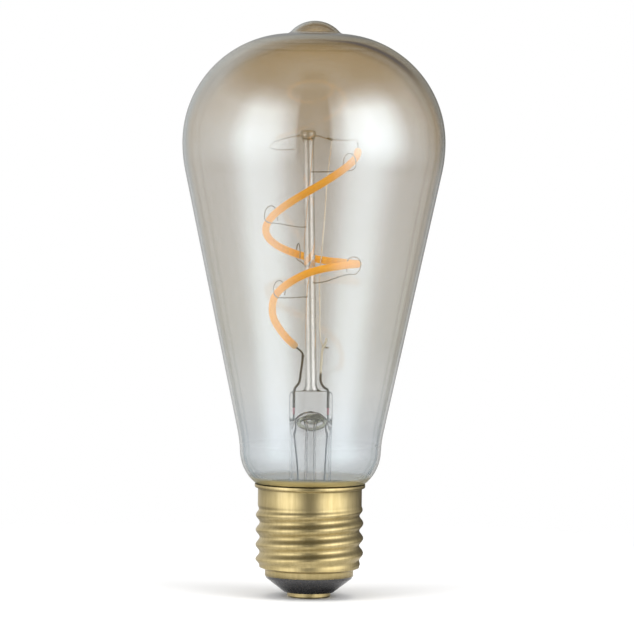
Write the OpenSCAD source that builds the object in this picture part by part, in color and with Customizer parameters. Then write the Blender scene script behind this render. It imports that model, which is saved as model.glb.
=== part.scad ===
// Tinted lamp bulb with a flexible LED filament and a 27 mm screw cap.
// +Z runs up the bulb, the origin is the centre of the contact face, and -Y is the front.

/* [Glass envelope] */
// Widest diameter of the glass
bulb_d = 64; // [61:0.5:67]
// Length from the contact face to the glass tip
bulb_len = 140.4; // [137:0.1:146]
// Height of the glass from its widest ring to the tip
crown_h = 29.6; // [29:0.1:31]
// Radius of the shoulder above the widest ring
dome_arc_r = 26.5; // [25.5:0.1:27]
// Radius of the belly below the widest ring
belly_arc_r = 34; // [28:0.5:40]
// Radius of the hollow between the taper and the bowl
waist_arc_r = 30; // [20:1:45]
// Widest diameter of the bowl above the cap
bowl_d = 34.4; // [33.6:0.1:35]
// Radius of the bowl's round lower edge
bowl_arc_r = 10.4; // [10:0.1:11]
// Distance by which the bowl swells past the taper's line
bowl_bulge = 0.6; // [0.4:0.05:0.9]
// Thickness of the glass
glass_wall = 0.7; // [0.5:0.05:0.9]
// Radius of the rounded tip where the glass was sealed
tip_r = 8; // [7:0.1:9]
// Radius of the hollow round the tip
tip_fillet_r = 2; // [1:0.1:3]
// Radius between the neck and the bowl
neck_fillet_r = 1.5; // [1:0.1:2]
// Gap between the bowl and the cap's lip
rim_gap = 0.1; // [0.05:0.01:0.2]
// Gap between the neck and the threaded shell
neck_gap = 0.55; // [0.5:0.01:0.7]

/* [Screw cap] */
// Height of the cap's rim above the contact face
cap_h = 27.6; // [26.8:0.1:28]
// Thickness of the brass sheet
shell_wall = 0.25; // [0.2:0.01:0.3]
// Diameter over the thread's crests
thread_crest_d = 26.3; // [26.05:0.05:26.45]
// Diameter at the thread's roots
thread_root_d = 24.4; // [24.26:0.02:24.66]
// Pitch of the thread
thread_pitch = 3.629; // [3.5:0.001:3.75]
// Height where the thread starts
thread_z0 = 7.2; // [6.9:0.1:7.8]
// Height of the plain collar between the thread and the lip
collar_h = 4; // [3.6:0.1:5]
// Diameter of the plain collar above the thread
collar_d = 25.4; // [25.2:0.05:25.6]
// Diameter of the flared lip at the rim
lip_d = 27; // [26.8:0.05:27.3]
// Height of the flared lip
lip_h = 1; // [0.9:0.05:1.2]
// Diameter of the shell's lower edge
shell_foot_d = 21.6; // [21:0.1:22]
// Height of the shell's lower edge
shell_foot_z = 5.2; // [4.9:0.1:5.3]
// Diameter of the contact plate
contact_d = 10.6; // [9.6:0.1:11.4]
// Thickness of the contact plate
contact_t = 1.2; // [0.9:0.05:1.4]
// Diameter of the eyelet that goes through the insulator
eyelet_d = 3.8; // [3.4:0.1:4.4]
// Bore of the eyelet
eyelet_bore_d = 2.2; // [1.8:0.1:2.6]
// Thickness of the black insulator at its middle
insulator_t = 2.8; // [2.2:0.1:3]
// Height of the insulator's ring inside the shell
insulator_ring_h = 1.2; // [0.8:0.1:1.3]
// Thickness of the insulator's ring inside the shell
insulator_ring_t = 1.3; // [1:0.1:1.6]
// Length of the cement ring between glass and shell
cement_h = 7.5; // [5:0.1:8.5]
// Radius of the solder spot under the lip
side_solder_r = 0.65; // [0.5:0.05:0.7]

/* [Stem] */
// Height of the seal between neck and flare
seal_z = 15.5; // [15:0.1:16.5]
// Outer diameter of the flare tube
tube_d = 10.2; // [10:0.05:10.5]
// Wall of the flare tube
tube_wall = 0.6; // [0.5:0.05:0.7]
// Height of the press's top above the cap's rim
press_rise = 22.7; // [21:0.1:26]
// Width of the flat press
press_w = 10.6; // [10.5:0.05:11.2]
// Thickness of the flat press
press_t = 3.6; // [3.4:0.1:4]
// Height of the flat part of the press
press_flat_h = 6.1; // [5.8:0.1:7]
// Height over which the tube narrows into the press
press_blend_h = 4; // [3.4:0.1:5]
// Outer diameter of the exhaust tube
exhaust_d = 2.8; // [2.4:0.1:3]
// Bore of the exhaust tube
exhaust_bore_d = 1.6; // [1.2:0.1:1.8]
// Gap between the exhaust tube's sealed end and the driver board
exhaust_tip_gap = 1.2; // [0.6:0.1:2]
// Diameter of the exhaust port in the front of the press
port_d = 1.4; // [1:0.1:1.5]
// Depth of the exhaust port below the press's top
port_drop = 6.25; // [6.1:0.05:6.6]
// Diameter of the glass rod
rod_d = 2.7; // [2.4:0.05:3]
// Length of the glass rod above the press
rod_len = 63.6; // [62.5:0.1:65]
// Sideways lean of the glass rod, in degrees
rod_lean = 1.3; // [1:0.1:1.5]
// Depth of the rod's foot in the press
rod_sink = 1.5; // [1:0.1:2]
// Diameter of the melted button at the rod's top
button_d = 3.8; // [3.4:0.1:4.2]
// Height of the melted button
button_h = 2.4; // [2:0.1:2.8]

/* [Wires] */
// Diameter of the inner lead wires
lead_d = 0.6; // [0.5:0.05:0.7]
// Distance of the lead wires from the axis in the press
lead_x = 4.05; // [3.95:0.01:4.1]
// Depth of the inner leads in the press
lead_sink = 4.1; // [3.8:0.1:4.2]
// Diameter of the copper-clad seal wires
dumet_d = 0.5; // [0.4:0.02:0.56]
// Length of the copper-clad seal wires
dumet_len = 1.6; // [1.3:0.1:1.6]
// Diameter of the outer lead wires
outer_lead_d = 0.4; // [0.3:0.02:0.44]
// Diameter of the return wire beside the rod
return_d = 0.4; // [0.3:0.02:0.44]
// Diameter of the support wires
hook_d = 0.3; // [0.24:0.02:0.34]
// Depth of a support wire's root in the rod
hook_root = 0.8; // [0.6:0.05:0.9]
// Width of a support wire's loop
loop_w = 3.6; // [3.2:0.1:4]
// Height of a support wire's loop
loop_h = 4.2; // [4.1:0.1:4.8]
// Diameter of the wires between the driver and the cap
hookup_d = 0.36; // [0.3:0.02:0.4]

/* [LED filament] */
// Radius of the filament's coil
coil_r = 11.4; // [10.8:0.05:12]
// Depth of the filament's top end below the rod's top
coil_inset = 4.8; // [4.4:0.1:6]
// Height of the filament's lower end above the press
coil_foot = 10.4; // [9.6:0.1:12]
// Diameter of the silicone coating
strip_d = 1.9; // [1.7:0.05:2]
// Width of the flexible carrier inside the coating
carrier_w = 1.1; // [0.9:0.05:1.2]
// Thickness of the flexible carrier
carrier_t = 0.12; // [0.08:0.01:0.16]
// Length of an LED chip
chip_l = 0.75; // [0.5:0.05:0.9]
// Width of an LED chip
chip_w = 0.4; // [0.3:0.02:0.5]
// Height of an LED chip
chip_h = 0.16; // [0.1:0.01:0.2]
// Angle round the coil from one chip to the next
chip_step = 8; // [7:0.5:10]
// Diameter of the terminal pins at the filament's ends
pin_d = 0.5; // [0.4:0.02:0.56]

/* [Driver] */
// Diameter of the driver board
board_d = 20; // [19.6:0.1:21]
// Thickness of the driver board
board_t = 1; // [0.8:0.1:1.2]
// Height of the board's underside
board_z = 11; // [10.8:0.1:11.2]
// Diameter of the smoothing capacitor
capacitor_d = 5; // [4:0.1:5.4]
// Length of the smoothing capacitor
capacitor_l = 8; // [7:0.1:9]
// Diameter of the surge varistor
varistor_d = 5; // [4:0.1:5.2]
// Thickness of the surge varistor
varistor_t = 2.2; // [1.8:0.1:2.6]
// Diameter of the fuse resistor
fuse_d = 2.3; // [1.8:0.1:2.6]
// Length of the fuse resistor's body
fuse_l = 6.4; // [5:0.1:7]
// Height of the rectifier
rectifier_h = 2.3; // [1.8:0.1:2.5]
// Height of the driver chip
ic_h = 1.5; // [1:0.1:1.7]
// Diameter of the parts' legs
leg_d = 0.5; // [0.4:0.02:0.6]

/* [Hidden] */

// Clearance of a round piece in its round seat
fit_gap = 0.02;
// Clearance of a round piece in the shell, whose bore has flat facets
shell_gap = 0.1;
// Gap of a welded joint, which the weld bead fills
weld_gap = 0.15;
arc_step = 4;
wire_sides = 8;
strip_sides = 8;
shell_sides = 36;
rows_per_pitch = 8;

bulb_r = bulb_d / 2;
tube_r = tube_d / 2;
tube_bore_r = tube_r - tube_wall;
rod_r = rod_d / 2;
button_r = button_d / 2;
strip_r = strip_d / 2;
crest_r = thread_crest_d / 2;
root_r = thread_root_d / 2;
collar_r = collar_d / 2;
lip_r = lip_d / 2;
foot_r = shell_foot_d / 2;
contact_r = contact_d / 2;
neck_r = root_r - shell_wall - neck_gap;
neck_bore_r = neck_r - glass_wall;

// Heights above the contact face
widest_z = bulb_len - crown_h;
lip_z = cap_h - lip_h;
thread_z1 = lip_z - collar_h;
thread_len = thread_z1 - thread_z0;
insulator_top = contact_t + insulator_t;
board_top = board_z + board_t;
flare_z = seal_z + neck_bore_r - tube_r;
press_top = cap_h + press_rise;
press_shoulder = press_top - press_flat_h;
press_foot = press_shoulder - press_blend_h;
port_z = press_top - port_drop;
socket_top = port_z + port_d / 2 + 0.4;
dumet_top = press_top - lead_sink;
dumet_foot = dumet_top - dumet_len;
cavity_top = dumet_foot - 0.3;
exhaust_tip_z = board_top + exhaust_tip_gap;
rod_top = press_top + rod_len;
coil_top = rod_top - coil_inset;
coil_h = coil_top - press_top - coil_foot;

function arc(centre, r, a0, a1) =
    let (n = max(1, ceil(abs(a1 - a0) / arc_step)))
    [for (i = [0 : n]) let (a = a0 + (a1 - a0) * i / n) centre + r * [cos(a), sin(a)]];
function heading(from, to) = atan2(to.y - from.y, to.x - from.x);
function reversed(list) = [for (i = [len(list) - 1 : -1 : 0]) list[i]];
function unit(v) = v / norm(v);
// Outer one of the two points that lie r0 from c0 and r1 from c1
function meet(c0, r0, c1, r1) =
    let (d = norm(c1 - c0), e = (c1 - c0) / d, along = (r0 * r0 - r1 * r1 + d * d) / (2 * d))
    c0 + along * e + sqrt(r0 * r0 - along * along) * [-e.y, e.x];

// Centres of the arcs that make the envelope's outline
tip_centre = [0, bulb_len - tip_r];
dome_centre = [bulb_r - dome_arc_r, widest_z];
tip_fillet_centre = meet(tip_centre, tip_r + tip_fillet_r, dome_centre, dome_arc_r + tip_fillet_r);
belly_centre = [bulb_r - belly_arc_r, widest_z];
bowl_inset = bowl_arc_r - bowl_bulge;
rim_glass_r = lip_r - shell_wall - rim_gap;
// The bowl passes the rim with its gap, and the taper is the line that touches belly and bowl.
bowl_centre_x = bowl_d / 2 - bowl_arc_r;
bowl_centre = [bowl_centre_x,
    cap_h + sqrt(bowl_arc_r * bowl_arc_r - pow(rim_glass_r - bowl_centre_x, 2))];
taper_deg = acos((bowl_inset - belly_arc_r) / norm(belly_centre - bowl_centre))
    - heading(bowl_centre, belly_centre);
waist_centre = bowl_centre + (bowl_inset + waist_arc_r) * [cos(taper_deg), -sin(taper_deg)]
    + sqrt(pow(bowl_arc_r + waist_arc_r, 2) - pow(bowl_inset + waist_arc_r, 2))
    * [sin(taper_deg), cos(taper_deg)];
waist_turn = acos((bowl_inset + waist_arc_r) / (bowl_arc_r + waist_arc_r));
neck_fillet_x = neck_r + neck_fillet_r;
neck_fillet_centre = [neck_fillet_x,
    bowl_centre.y - sqrt(pow(bowl_arc_r + neck_fillet_r, 2) - pow(neck_fillet_x - bowl_centre.x, 2))];

// Outline of the glass from the tip to the neck's end, at a depth below its outer face
function glass_outline(depth, end_z) = concat(
    arc(tip_centre, tip_r - depth, 90, heading(tip_centre, tip_fillet_centre)),
    arc(tip_fillet_centre, tip_fillet_r + depth, heading(tip_fillet_centre, tip_centre) + 360,
        heading(tip_fillet_centre, dome_centre) + 360),
    arc(dome_centre, dome_arc_r - depth, heading(dome_centre, tip_fillet_centre), 0),
    arc(belly_centre, belly_arc_r - depth, -1, -taper_deg),
    arc(waist_centre, waist_arc_r + depth, 180 - taper_deg, 180 - taper_deg + waist_turn),
    arc(bowl_centre, bowl_arc_r - depth, waist_turn - taper_deg - 1,
        heading(bowl_centre, neck_fillet_centre)),
    arc(neck_fillet_centre, neck_fillet_r + depth, heading(neck_fillet_centre, bowl_centre) + 4, 180),
    [[neck_r - depth, end_z]]);

// Smooth curve through a table of [angle, value] rows
function row_slope(t, i) =
    let (a = t[max(i - 1, 0)], b = t[min(i + 1, len(t) - 1)]) (b[1] - a[1]) / (b[0] - a[0]);
function row_of(t, a, i = 0) = i >= len(t) - 2 || a < t[i + 1][0] ? i : row_of(t, a, i + 1);
// Value between b and c, where sb and sc are their slopes times the distance between them
function ease(b, c, sb, sc, u) = b * (2 * pow(u, 3) - 3 * pow(u, 2) + 1)
    + c * (3 * pow(u, 2) - 2 * pow(u, 3)) + sb * (pow(u, 3) - 2 * pow(u, 2) + u)
    + sc * (pow(u, 3) - pow(u, 2));
function smooth(t, a) =
    let (i = row_of(t, a), h = t[i + 1][0] - t[i][0])
    ease(t[i][1], t[i + 1][1], h * row_slope(t, i), h * row_slope(t, i + 1), (a - t[i][0]) / h);

// The filament's coil: 0 degrees is at the right, 90 in front, 180 at the left, and it runs downwards.
// The tables give shares of the coil's radius and height.
coil_end = 597;
coil_spread = [[0, -0.061], [90, -0.009], [180, 0.009], [270, 0.009], [360, -0.026], [450, -0.07],
    [540, -0.158], [570, -0.298], [coil_end, -0.386]];
coil_drop = [[0, 0], [45, 0.087], [90, 0.194], [135, 0.302], [180, 0.405], [225, 0.494], [270, 0.552],
    [315, 0.57], [360, 0.572], [405, 0.576], [450, 0.607], [495, 0.692], [525, 0.769], [545, 0.847],
    [570, 0.934], [coil_end, 1]];
function around(a) = [cos(a), -sin(a), 0];
function coil_at(a) = coil_r * (1 + smooth(coil_spread, a)) * around(a)
    + [0, 0, coil_top - coil_h * smooth(coil_drop, a)];
function coil_heading(a) = unit(coil_at(min(a + 1, coil_end)) - coil_at(max(a - 1, 0)));
function rod_axis(z) = [-(z - press_top) * tan(rod_lean), 0, z];

// Smooth curve through hand-placed points
function path_slope(p, i) =
    let (a = p[i] - p[max(i - 1, 0)], b = p[min(i + 1, len(p) - 1)] - p[i])
    i == 0 ? unit(b) : i == len(p) - 1 ? unit(a)
    : (unit(a) * norm(b) + unit(b) * norm(a)) / (norm(a) + norm(b));
function curve(p, steps = 4) = concat([p[0]], [for (i = [0 : len(p) - 2], s = [1 : steps])
    let (l = norm(p[i + 1] - p[i]))
    ease(p[i], p[i + 1], l * path_slope(p, i), l * path_slope(p, i + 1), s / steps)]);
function ring(p, r, t, ref, sides) =
    let (x = unit(cross(ref, t)), y = cross(t, x))
    [for (k = [0 : sides - 1]) let (a = 360 * k / sides) p + r * (cos(a) * x + sin(a) * y)];

// Solid through a row of rings that all have m corners
module skin(rings) {
    m = len(rings[0]);
    n = len(rings);
    polyhedron(
        points = [for (r = rings, p = r) p],
        faces = concat([[for (k = [0 : m - 1]) k]],
            [for (i = [0 : n - 2], k = [0 : m - 1], half = [0, 1])
                let (a = i * m + k, b = i * m + (k + 1) % m)
                half == 0 ? [a, a + m, b + m] : [a, b + m, b]],
            [[for (k = [m - 1 : -1 : 0]) (n - 1) * m + k]]));
}

module wire(path, d, ref) {
    last = len(path) - 1;
    skin([for (i = [0 : last])
        ring(path[i], d / 2, unit(path[min(i + 1, last)] - path[max(i - 1, 0)]), ref, wire_sides)]);
}

module at(p) {
    translate(p) children();
}

// Glass

module bulb_envelope() {
    color([0.66, 0.58, 0.44, 0.35])
    rotate_extrude($fn = 128)
    polygon(concat(glass_outline(0, seal_z), reversed(glass_outline(glass_wall, seal_z))));
}

// Length over which the pinch starts inside the round tube
pinch_lap = 0.5;
// Outline of the pinched stem from the side, at a depth below its outer face
function pinch_outline(depth, top) =
    let (n = 6, wide = tube_r - depth, flat = press_t / 2 - depth,
        half = [for (i = [0 : n]) let (u = i / n)
            [wide + (flat - wide) * (1 - cos(180 * u)) / 2, press_foot + u * (top - press_foot)]])
    concat([[wide + 0.2, press_foot - pinch_lap]], half, reversed([for (p = half) [-p.x, p.y]]),
        [[-wide - 0.2, press_foot - pinch_lap]]);

module pinch(r, depth, top) {
    intersection() {
        at([0, 0, press_foot - pinch_lap]) cylinder(r = r, h = top - press_foot + pinch_lap, $fn = 96);
        rotate([90, 0, 90])
        linear_extrude(height = 2 * tube_d, center = true) polygon(pinch_outline(depth, top));
    }
}

module press_section() {
    square([press_w - press_t, press_t], center = true);
    for (side = [-1, 1]) translate([side * (press_w - press_t) / 2, 0]) circle(d = press_t, $fn = 48);
}

module flare_profile() {
    flare_r = neck_bore_r - tube_r;
    centre = [neck_bore_r, flare_z];
    polygon(concat([[tube_bore_r, press_foot], [tube_r, press_foot]],
        arc(centre, flare_r, 180, 270), [[neck_r, seal_z], [neck_r, seal_z - tube_wall]],
        arc(centre, flare_r + tube_wall, 270, 180)));
}

module stem_flare() {
    color([0.8, 0.86, 0.86, 0.4])
    difference() {
        union() {
            rotate_extrude($fn = 96) flare_profile();
            pinch(tube_r, 0, press_shoulder);
            at([0, 0, press_shoulder - 0.4])
            linear_extrude(height = press_flat_h + 0.4) press_section();
        }
        pinch(tube_bore_r, tube_wall, cavity_top);
        at([0, 0, press_foot - 0.01]) cylinder(d = exhaust_d + 2 * fit_gap, h = socket_top - press_foot,
            $fn = 48);
        at([0, 0, port_z]) rotate([90, 0, 0]) cylinder(d = port_d, h = press_t, $fn = 32);
        rod_body(fit_gap);
        for (side = [-1, 1]) at([side * lead_x, 0, 0]) {
            at([0, 0, cavity_top - 1]) cylinder(d = outer_lead_d, h = dumet_foot - cavity_top + 1, $fn = 24);
            at([0, 0, dumet_foot]) cylinder(d = dumet_d, h = dumet_len, $fn = 24);
            at([0, 0, dumet_top]) cylinder(d = lead_d, h = lead_sink + 1, $fn = 24);
        }
    }
}

module exhaust_tube() {
    color([0.82, 0.88, 0.88, 0.4])
    difference() {
        union() {
            at([0, 0, exhaust_tip_z + exhaust_d / 2])
            cylinder(d = exhaust_d, h = socket_top - fit_gap - exhaust_tip_z - exhaust_d / 2, $fn = 48);
            at([0, 0, exhaust_tip_z + exhaust_d / 2]) sphere(d = exhaust_d, $fn = 48);
        }
        at([0, 0, exhaust_tip_z + exhaust_d]) cylinder(d = exhaust_bore_d,
            h = port_z + port_d / 2 - exhaust_tip_z - exhaust_d, $fn = 32);
        at([0, 0, port_z]) rotate([90, 0, 0]) cylinder(d = port_d, h = press_t, $fn = 32);
    }
}

// Rod with its melted button; the gap widens it for its seat in the press.
module rod_body(gap) {
    corner = button_h / 2.4;
    at([0, 0, press_top]) rotate([0, -rod_lean, 0]) rotate_extrude($fn = 64)
    polygon(concat([[0, -rod_sink - gap], [rod_r + gap, -rod_sink - gap],
        [rod_r + gap, rod_len - button_h]],
        arc([button_r - corner, rod_len - corner], corner, -40, 90), [[0, rod_len]]));
}

module glass_rod() {
    color([0.88, 0.87, 0.8, 0.5])
    difference() {
        rod_body(0);
        for (s = SUPPORTS) at(support_root(s)) rotate([0, 90, -s[0]])
        at([0, 0, rod_r - hook_root]) cylinder(d = hook_d, h = 2 * hook_root, $fn = 24);
        for (side = [0, 180]) at(rod_axis(button_wire_z)) rotate([0, 90, side])
        at([0, 0, button_r - hook_root]) cylinder(d = hook_d, h = 2 * hook_root, $fn = 24);
    }
}

// Lead wires

module inner_lead_left() {
    color([0.3, 0.27, 0.25])
    wire(curve([[-lead_x, 0, dumet_top], [-lead_x, 0, press_top], [-lead_x, 0, press_top + 0.3],
        [-lead_x + 0.3, 0.3, press_top + 0.9], [-lead_x + 0.9, 1, press_top + 1.6],
        [-lead_x + 1.5, 2.6, (press_top + 0.7 + lead_end_left.z) / 2],
        lead_end_left - [0.1, 0.2, 1.2], lead_end_left]),
        lead_d, [0, 1, 0]);
}

module inner_lead_right() {
    color([0.3, 0.27, 0.25])
    wire(curve([[lead_x, 0, dumet_top], [lead_x, 0, press_top], [lead_x, 0, press_top + 0.3],
        [lead_x - 0.8, 0, press_top + 0.8], [lead_x - 1.6, 0, press_top + 2],
        [lead_x - 1.75, 0, press_top + 4.5], [lead_x - 1.6, 0, press_top + 7],
        [weld_right.x, 0, weld_right.z], [weld_right.x + 0.5, 0, weld_right.z + 0.9]]),
        lead_d, [0, 1, 0]);
}

module dumet_seal(side) {
    color([0.75, 0.35, 0.3])
    at([side * lead_x, 0, dumet_foot]) cylinder(d = dumet_d, h = dumet_len, $fn = 24);
}

module dumet_seal_left() {
    dumet_seal(-1);
}

module dumet_seal_right() {
    dumet_seal(1);
}

module outer_lead(x, mid_x, pad) {
    color([0.72, 0.68, 0.62])
    wire(curve([[x, 0, dumet_foot], [x, 0, cavity_top], [x, 0, press_foot],
        [(x + mid_x) / 2, 0, press_foot - 4.5], [mid_x, 0, cap_h + 3], [mid_x, 0, cap_h - 6],
        [pad.x, pad.y, board_top + 4], [pad.x, pad.y, board_top + 1], [pad.x, pad.y, board_z]]),
        outer_lead_d, [0, 1, 0]);
}

module outer_lead_left() {
    outer_lead(-lead_x, -lead_x + 1, pad_left);
}

module outer_lead_right() {
    outer_lead(lead_x, lead_x - 0.5, pad_right);
}

// Return wire from the right lead's weld up to the top support
module return_wire() {
    y = (lead_d + return_d) / 2 + fit_gap;
    span = return_top.z - weld_right.z;
    color([0.8, 0.76, 0.68])
    wire(curve([[weld_right.x + 0.5, y, weld_right.z - 0.9], [weld_right.x, y, weld_right.z],
        for (p = [[-0.6, y, 0.024], [-0.85, y, 0.057], [-1, 0.5, 0.192], [-1.15, 0.5, 0.303],
            [-0.7, 0.5, 0.45], [0.15, 0.5, 0.709], [0.3, 0.5, 0.772]])
        [weld_right.x + p.x, p.y, weld_right.z + p.z * span],
        [return_top.x - 0.3, return_top.y, return_top.z - 3], return_top]), return_d, [0, 1, 0]);
}

// Support wires

// Angle round the coil, height of the root over the filament there, and drop of the loop under it
SUPPORTS = [[38, -1.9, 1.5], [152, -2.3, 1.35], [252, -2.5, 1.5], [385, -4.7, 2.4], [501, -1.7, 1.8]];
function support_root(s) = rod_axis(coil_at(s[0]).z + s[1]);
button_wire_z = rod_top - 1.4;
top_weld = coil_at(0) + [-0.1, 0.6, 1.9];
return_top = [0.406 * top_weld.x, (hook_d + return_d) / 2 + fit_gap, button_wire_z - 0.9];
lead_end_left = coil_at(coil_end) + [1.7, -1.5, -1.9];
weld_right = [2.9, 0, press_top + 10.8];
pad_left = [-3, 0.4];
pad_right = [3.4, 0.6];

// Loop round the filament, as outward and upward distances from its middle
function loop_points(drop) =
    let (w = loop_w / 2, top = loop_h - drop)
    [[-w * 0.6, -drop], [w * 0.4, 0.15 - drop], [w * 0.9, -drop / 2], [w, top * 0.4],
        [w * 0.6, top * 0.85], [-w * 0.1, top], [-w * 0.75, top * 0.7], [-w, top * 0.2],
        [-w * 0.95, 0.6 - drop]];

module support(i) {
    a = SUPPORTS[i][0];
    root = support_root(SUPPORTS[i]);
    middle = coil_at(a);
    out = unit([middle.x - root.x, middle.y - root.y, 0]);
    color([0.25, 0.22, 0.2])
    wire(curve(concat([for (d = [rod_r - hook_root, rod_r, rod_r + 0.3]) root + d * around(a)],
        [for (p = loop_points(SUPPORTS[i][2])) middle + p.x * out + [0, 0, p.y]])),
        hook_d, cross(out, [0, 0, 1]));
}

module support_upper_right() {
    support(0);
}

module support_upper_left() {
    support(1);
}

module support_back() {
    support(2);
}

module support_lower_right() {
    support(3);
}

module support_lower_left() {
    support(4);
}

module top_support() {
    root = rod_axis(button_wire_z);
    reach = top_weld.x;
    color([0.25, 0.22, 0.2])
    wire(curve([root + [button_r - hook_root, 0, 0], root + [button_r, 0, 0],
        root + [button_r + 0.8, 0, -0.1], [0.23 * reach, 0, button_wire_z - 0.5],
        [return_top.x, 0, button_wire_z - 0.9], [0.61 * reach, 0, button_wire_z - 1],
        [0.85 * reach, 0.1, button_wire_z - 1],
        top_weld + [-0.35, 0, 0.6], top_weld + [0, 0, weld_gap]]), hook_d, [0, 1, 0]);
}

module top_hook() {
    root = rod_axis(button_wire_z);
    color([0.5, 0.47, 0.43])
    wire(curve([root - [button_r - hook_root, 0, 0], root - [button_r, 0, 0],
        root - [button_r + 0.8, 0, 0.1], root + [-6.4, 0, -1], root + [-9, 0, -2.2],
        root + [-9.3, 0.3, -2.9], root + [-8, 0.4, -3.4], root + [-5.6, 0.4, -3.5],
        root + [-3.4, 0.4, -3.3]]), hook_d, [0, 1, 0]);
}

// Filament

// Corners of a flat box section that stands across the coil, with points at its long sides' middles
function box_section(inner, outer, w) =
    [[outer, -w], [outer, 0], [outer, w], [(inner + outer) / 2, w], [inner, w], [inner, 0],
        [inner, -w], [(inner + outer) / 2, -w]];
function coil_section(a, section) =
    let (t = coil_heading(a), n = unit(around(a) - (around(a) * t) * t), b = cross(t, n))
    [for (s = section) coil_at(a) + s.x * n + s.y * b];
coil_steps = floor(coil_end / chip_step);
coil_angles = [for (i = [0 : coil_steps]) i * coil_end / coil_steps];
round_section = [for (k = [0 : strip_sides - 1])
    let (a = 360 * (k - 1) / strip_sides) strip_r * [cos(a), sin(a)]];
core_section = box_section(-carrier_t - fit_gap, chip_h + 2 * fit_gap, carrier_w / 2 + fit_gap);

module filament_coating() {
    m = strip_sides;
    n = len(coil_angles);
    color([0.94, 0.62, 0.2])
    polyhedron(
        points = [for (a = coil_angles, section = [round_section, core_section],
            p = coil_section(a, section)) p],
        faces = concat(
            [for (i = [0 : n - 2], k = [0 : m - 1], half = [0, 1])
                let (a = 2 * m * i + k, b = 2 * m * i + (k + 1) % m)
                half == 0 ? [a, a + 2 * m, b + 2 * m] : [a, b + 2 * m, b]],
            [for (i = [0 : n - 2], k = [0 : m - 1], half = [0, 1])
                let (a = 2 * m * i + m + k, b = 2 * m * i + m + (k + 1) % m)
                half == 0 ? [a, b + 2 * m, a + 2 * m] : [a, b, b + 2 * m]],
            [for (k = [0 : m - 1]) let (j = (k + 1) % m) [k, j, j + m, k + m]],
            [for (k = [0 : m - 1]) let (j = (k + 1) % m, last = 2 * m * (n - 1))
                [last + k + m, last + j + m, last + j, last + k]]));
}

module filament_carrier() {
    w = carrier_w / 2;
    color([0.85, 0.8, 0.7])
    skin([for (a = coil_angles)
        coil_section(a, [[0, -w], [0, w], [-carrier_t, w], [-carrier_t, -w]])]);
}

// One chip lies in the middle of each straight stretch between two rings.
module led_chips() {
    color([0.3, 0.32, 0.4])
    for (i = [0 : coil_steps - 1]) {
        a = coil_angles[i];
        b = coil_angles[i + 1];
        middle = (coil_at(a) + coil_at(b)) / 2;
        t = unit(coil_at(b) - coil_at(a));
        n0 = around((a + b) / 2);
        n = unit(n0 - (n0 * t) * t);
        w = cross(t, n);
        multmatrix([[t.x, w.x, n.x, middle.x], [t.y, w.y, n.y, middle.y], [t.z, w.z, n.z, middle.z],
            [0, 0, 0, 1]])
        translate([-chip_l / 2, -chip_w / 2, fit_gap / 2]) cube([chip_l, chip_w, chip_h]);
    }
}

module filament_pin_top() {
    start = coil_at(0);
    color([0.75, 0.73, 0.7])
    wire(curve([start - fit_gap * coil_heading(0), start - 0.4 * coil_heading(0),
        start + [-0.03, 0.7, 0.9], top_weld]), pin_d, [1, 0, 0]);
}

module filament_pin_bottom() {
    start = coil_at(coil_end);
    along = coil_heading(coil_end);
    color([0.75, 0.73, 0.7])
    wire(curve([start + fit_gap * along, start + 0.5 * along, lead_end_left + [-0.4, 0.3, 0.8],
        lead_end_left + [0, 0, weld_gap]]), pin_d, [0, 1, 0]);
}

// Cap

function fade(u) = u <= 0 ? 0 : u >= 1 ? 1 : (1 - cos(180 * u)) / 2;
function thread_r(z, a) =
    let (turn = (z - thread_z0) / thread_pitch - a / 360,
        ramp = min(fade((z - thread_z0) / 2), fade((thread_z1 - z) / 2)),
        middle = (crest_r + root_r) / 2, swing = (crest_r - root_r) / 2,
        plain = z > (thread_z0 + thread_z1) / 2 ? collar_r : root_r)
    plain + (middle + swing * cos(360 * turn) - plain) * ramp;
function shell_column(a) =
    let (rows = ceil(thread_len / thread_pitch * rows_per_pitch),
        foot = [[foot_r, shell_foot_z], [foot_r, shell_foot_z + insulator_ring_h + 0.1]],
        thread = [for (i = [0 : rows]) let (z = thread_z0 + thread_len * i / rows) [thread_r(z, a), z]],
        skirt = concat(foot, thread),
        lip = [[collar_r, lip_z - 0.35], [collar_r + 0.1, lip_z - 0.1], [lip_r - 0.25, lip_z + 0.1],
            [lip_r, lip_z + 0.35], [lip_r, cap_h], [lip_r - shell_wall, cap_h],
            [lip_r - shell_wall, lip_z + 0.5], [lip_r - shell_wall - 0.2, lip_z + 0.3],
            [collar_r - shell_wall + 0.1, lip_z + 0.1], [collar_r - shell_wall, lip_z - 0.2]])
    concat(skirt, lip, reversed([for (p = skirt) [p.x - shell_wall, p.y]]));

module cap_shell() {
    columns = [for (j = [0 : shell_sides - 1]) let (a = 360 * j / shell_sides)
        [for (p = shell_column(a)) [p.x * cos(a), p.x * sin(a), p.y]]];
    m = len(columns[0]);
    color([0.82, 0.68, 0.36])
    polyhedron(
        points = [for (c = columns, p = c) p],
        faces = [for (j = [0 : shell_sides - 1], i = [0 : m - 1], half = [0, 1])
            let (k = (j + 1) % shell_sides, up = (i + 1) % m,
                a = j * m + i, b = k * m + i, c = k * m + up, d = j * m + up)
            half == 0 ? [a, d, c] : [a, c, b]]);
}

module cap_insulator() {
    ring_r = foot_r - shell_wall - shell_gap;
    color([0.06, 0.06, 0.07])
    rotate_extrude($fn = 96)
    polygon([[eyelet_d / 2 + fit_gap, contact_t], [contact_r + 0.8, contact_t],
        [foot_r - 0.4, shell_foot_z - 0.7], [foot_r, shell_foot_z], [ring_r, shell_foot_z],
        [ring_r, shell_foot_z + insulator_ring_h],
        [ring_r - insulator_ring_t, shell_foot_z + insulator_ring_h],
        [ring_r - insulator_ring_t - 0.6, insulator_top], [eyelet_d / 2 + fit_gap, insulator_top]]);
}

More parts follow.
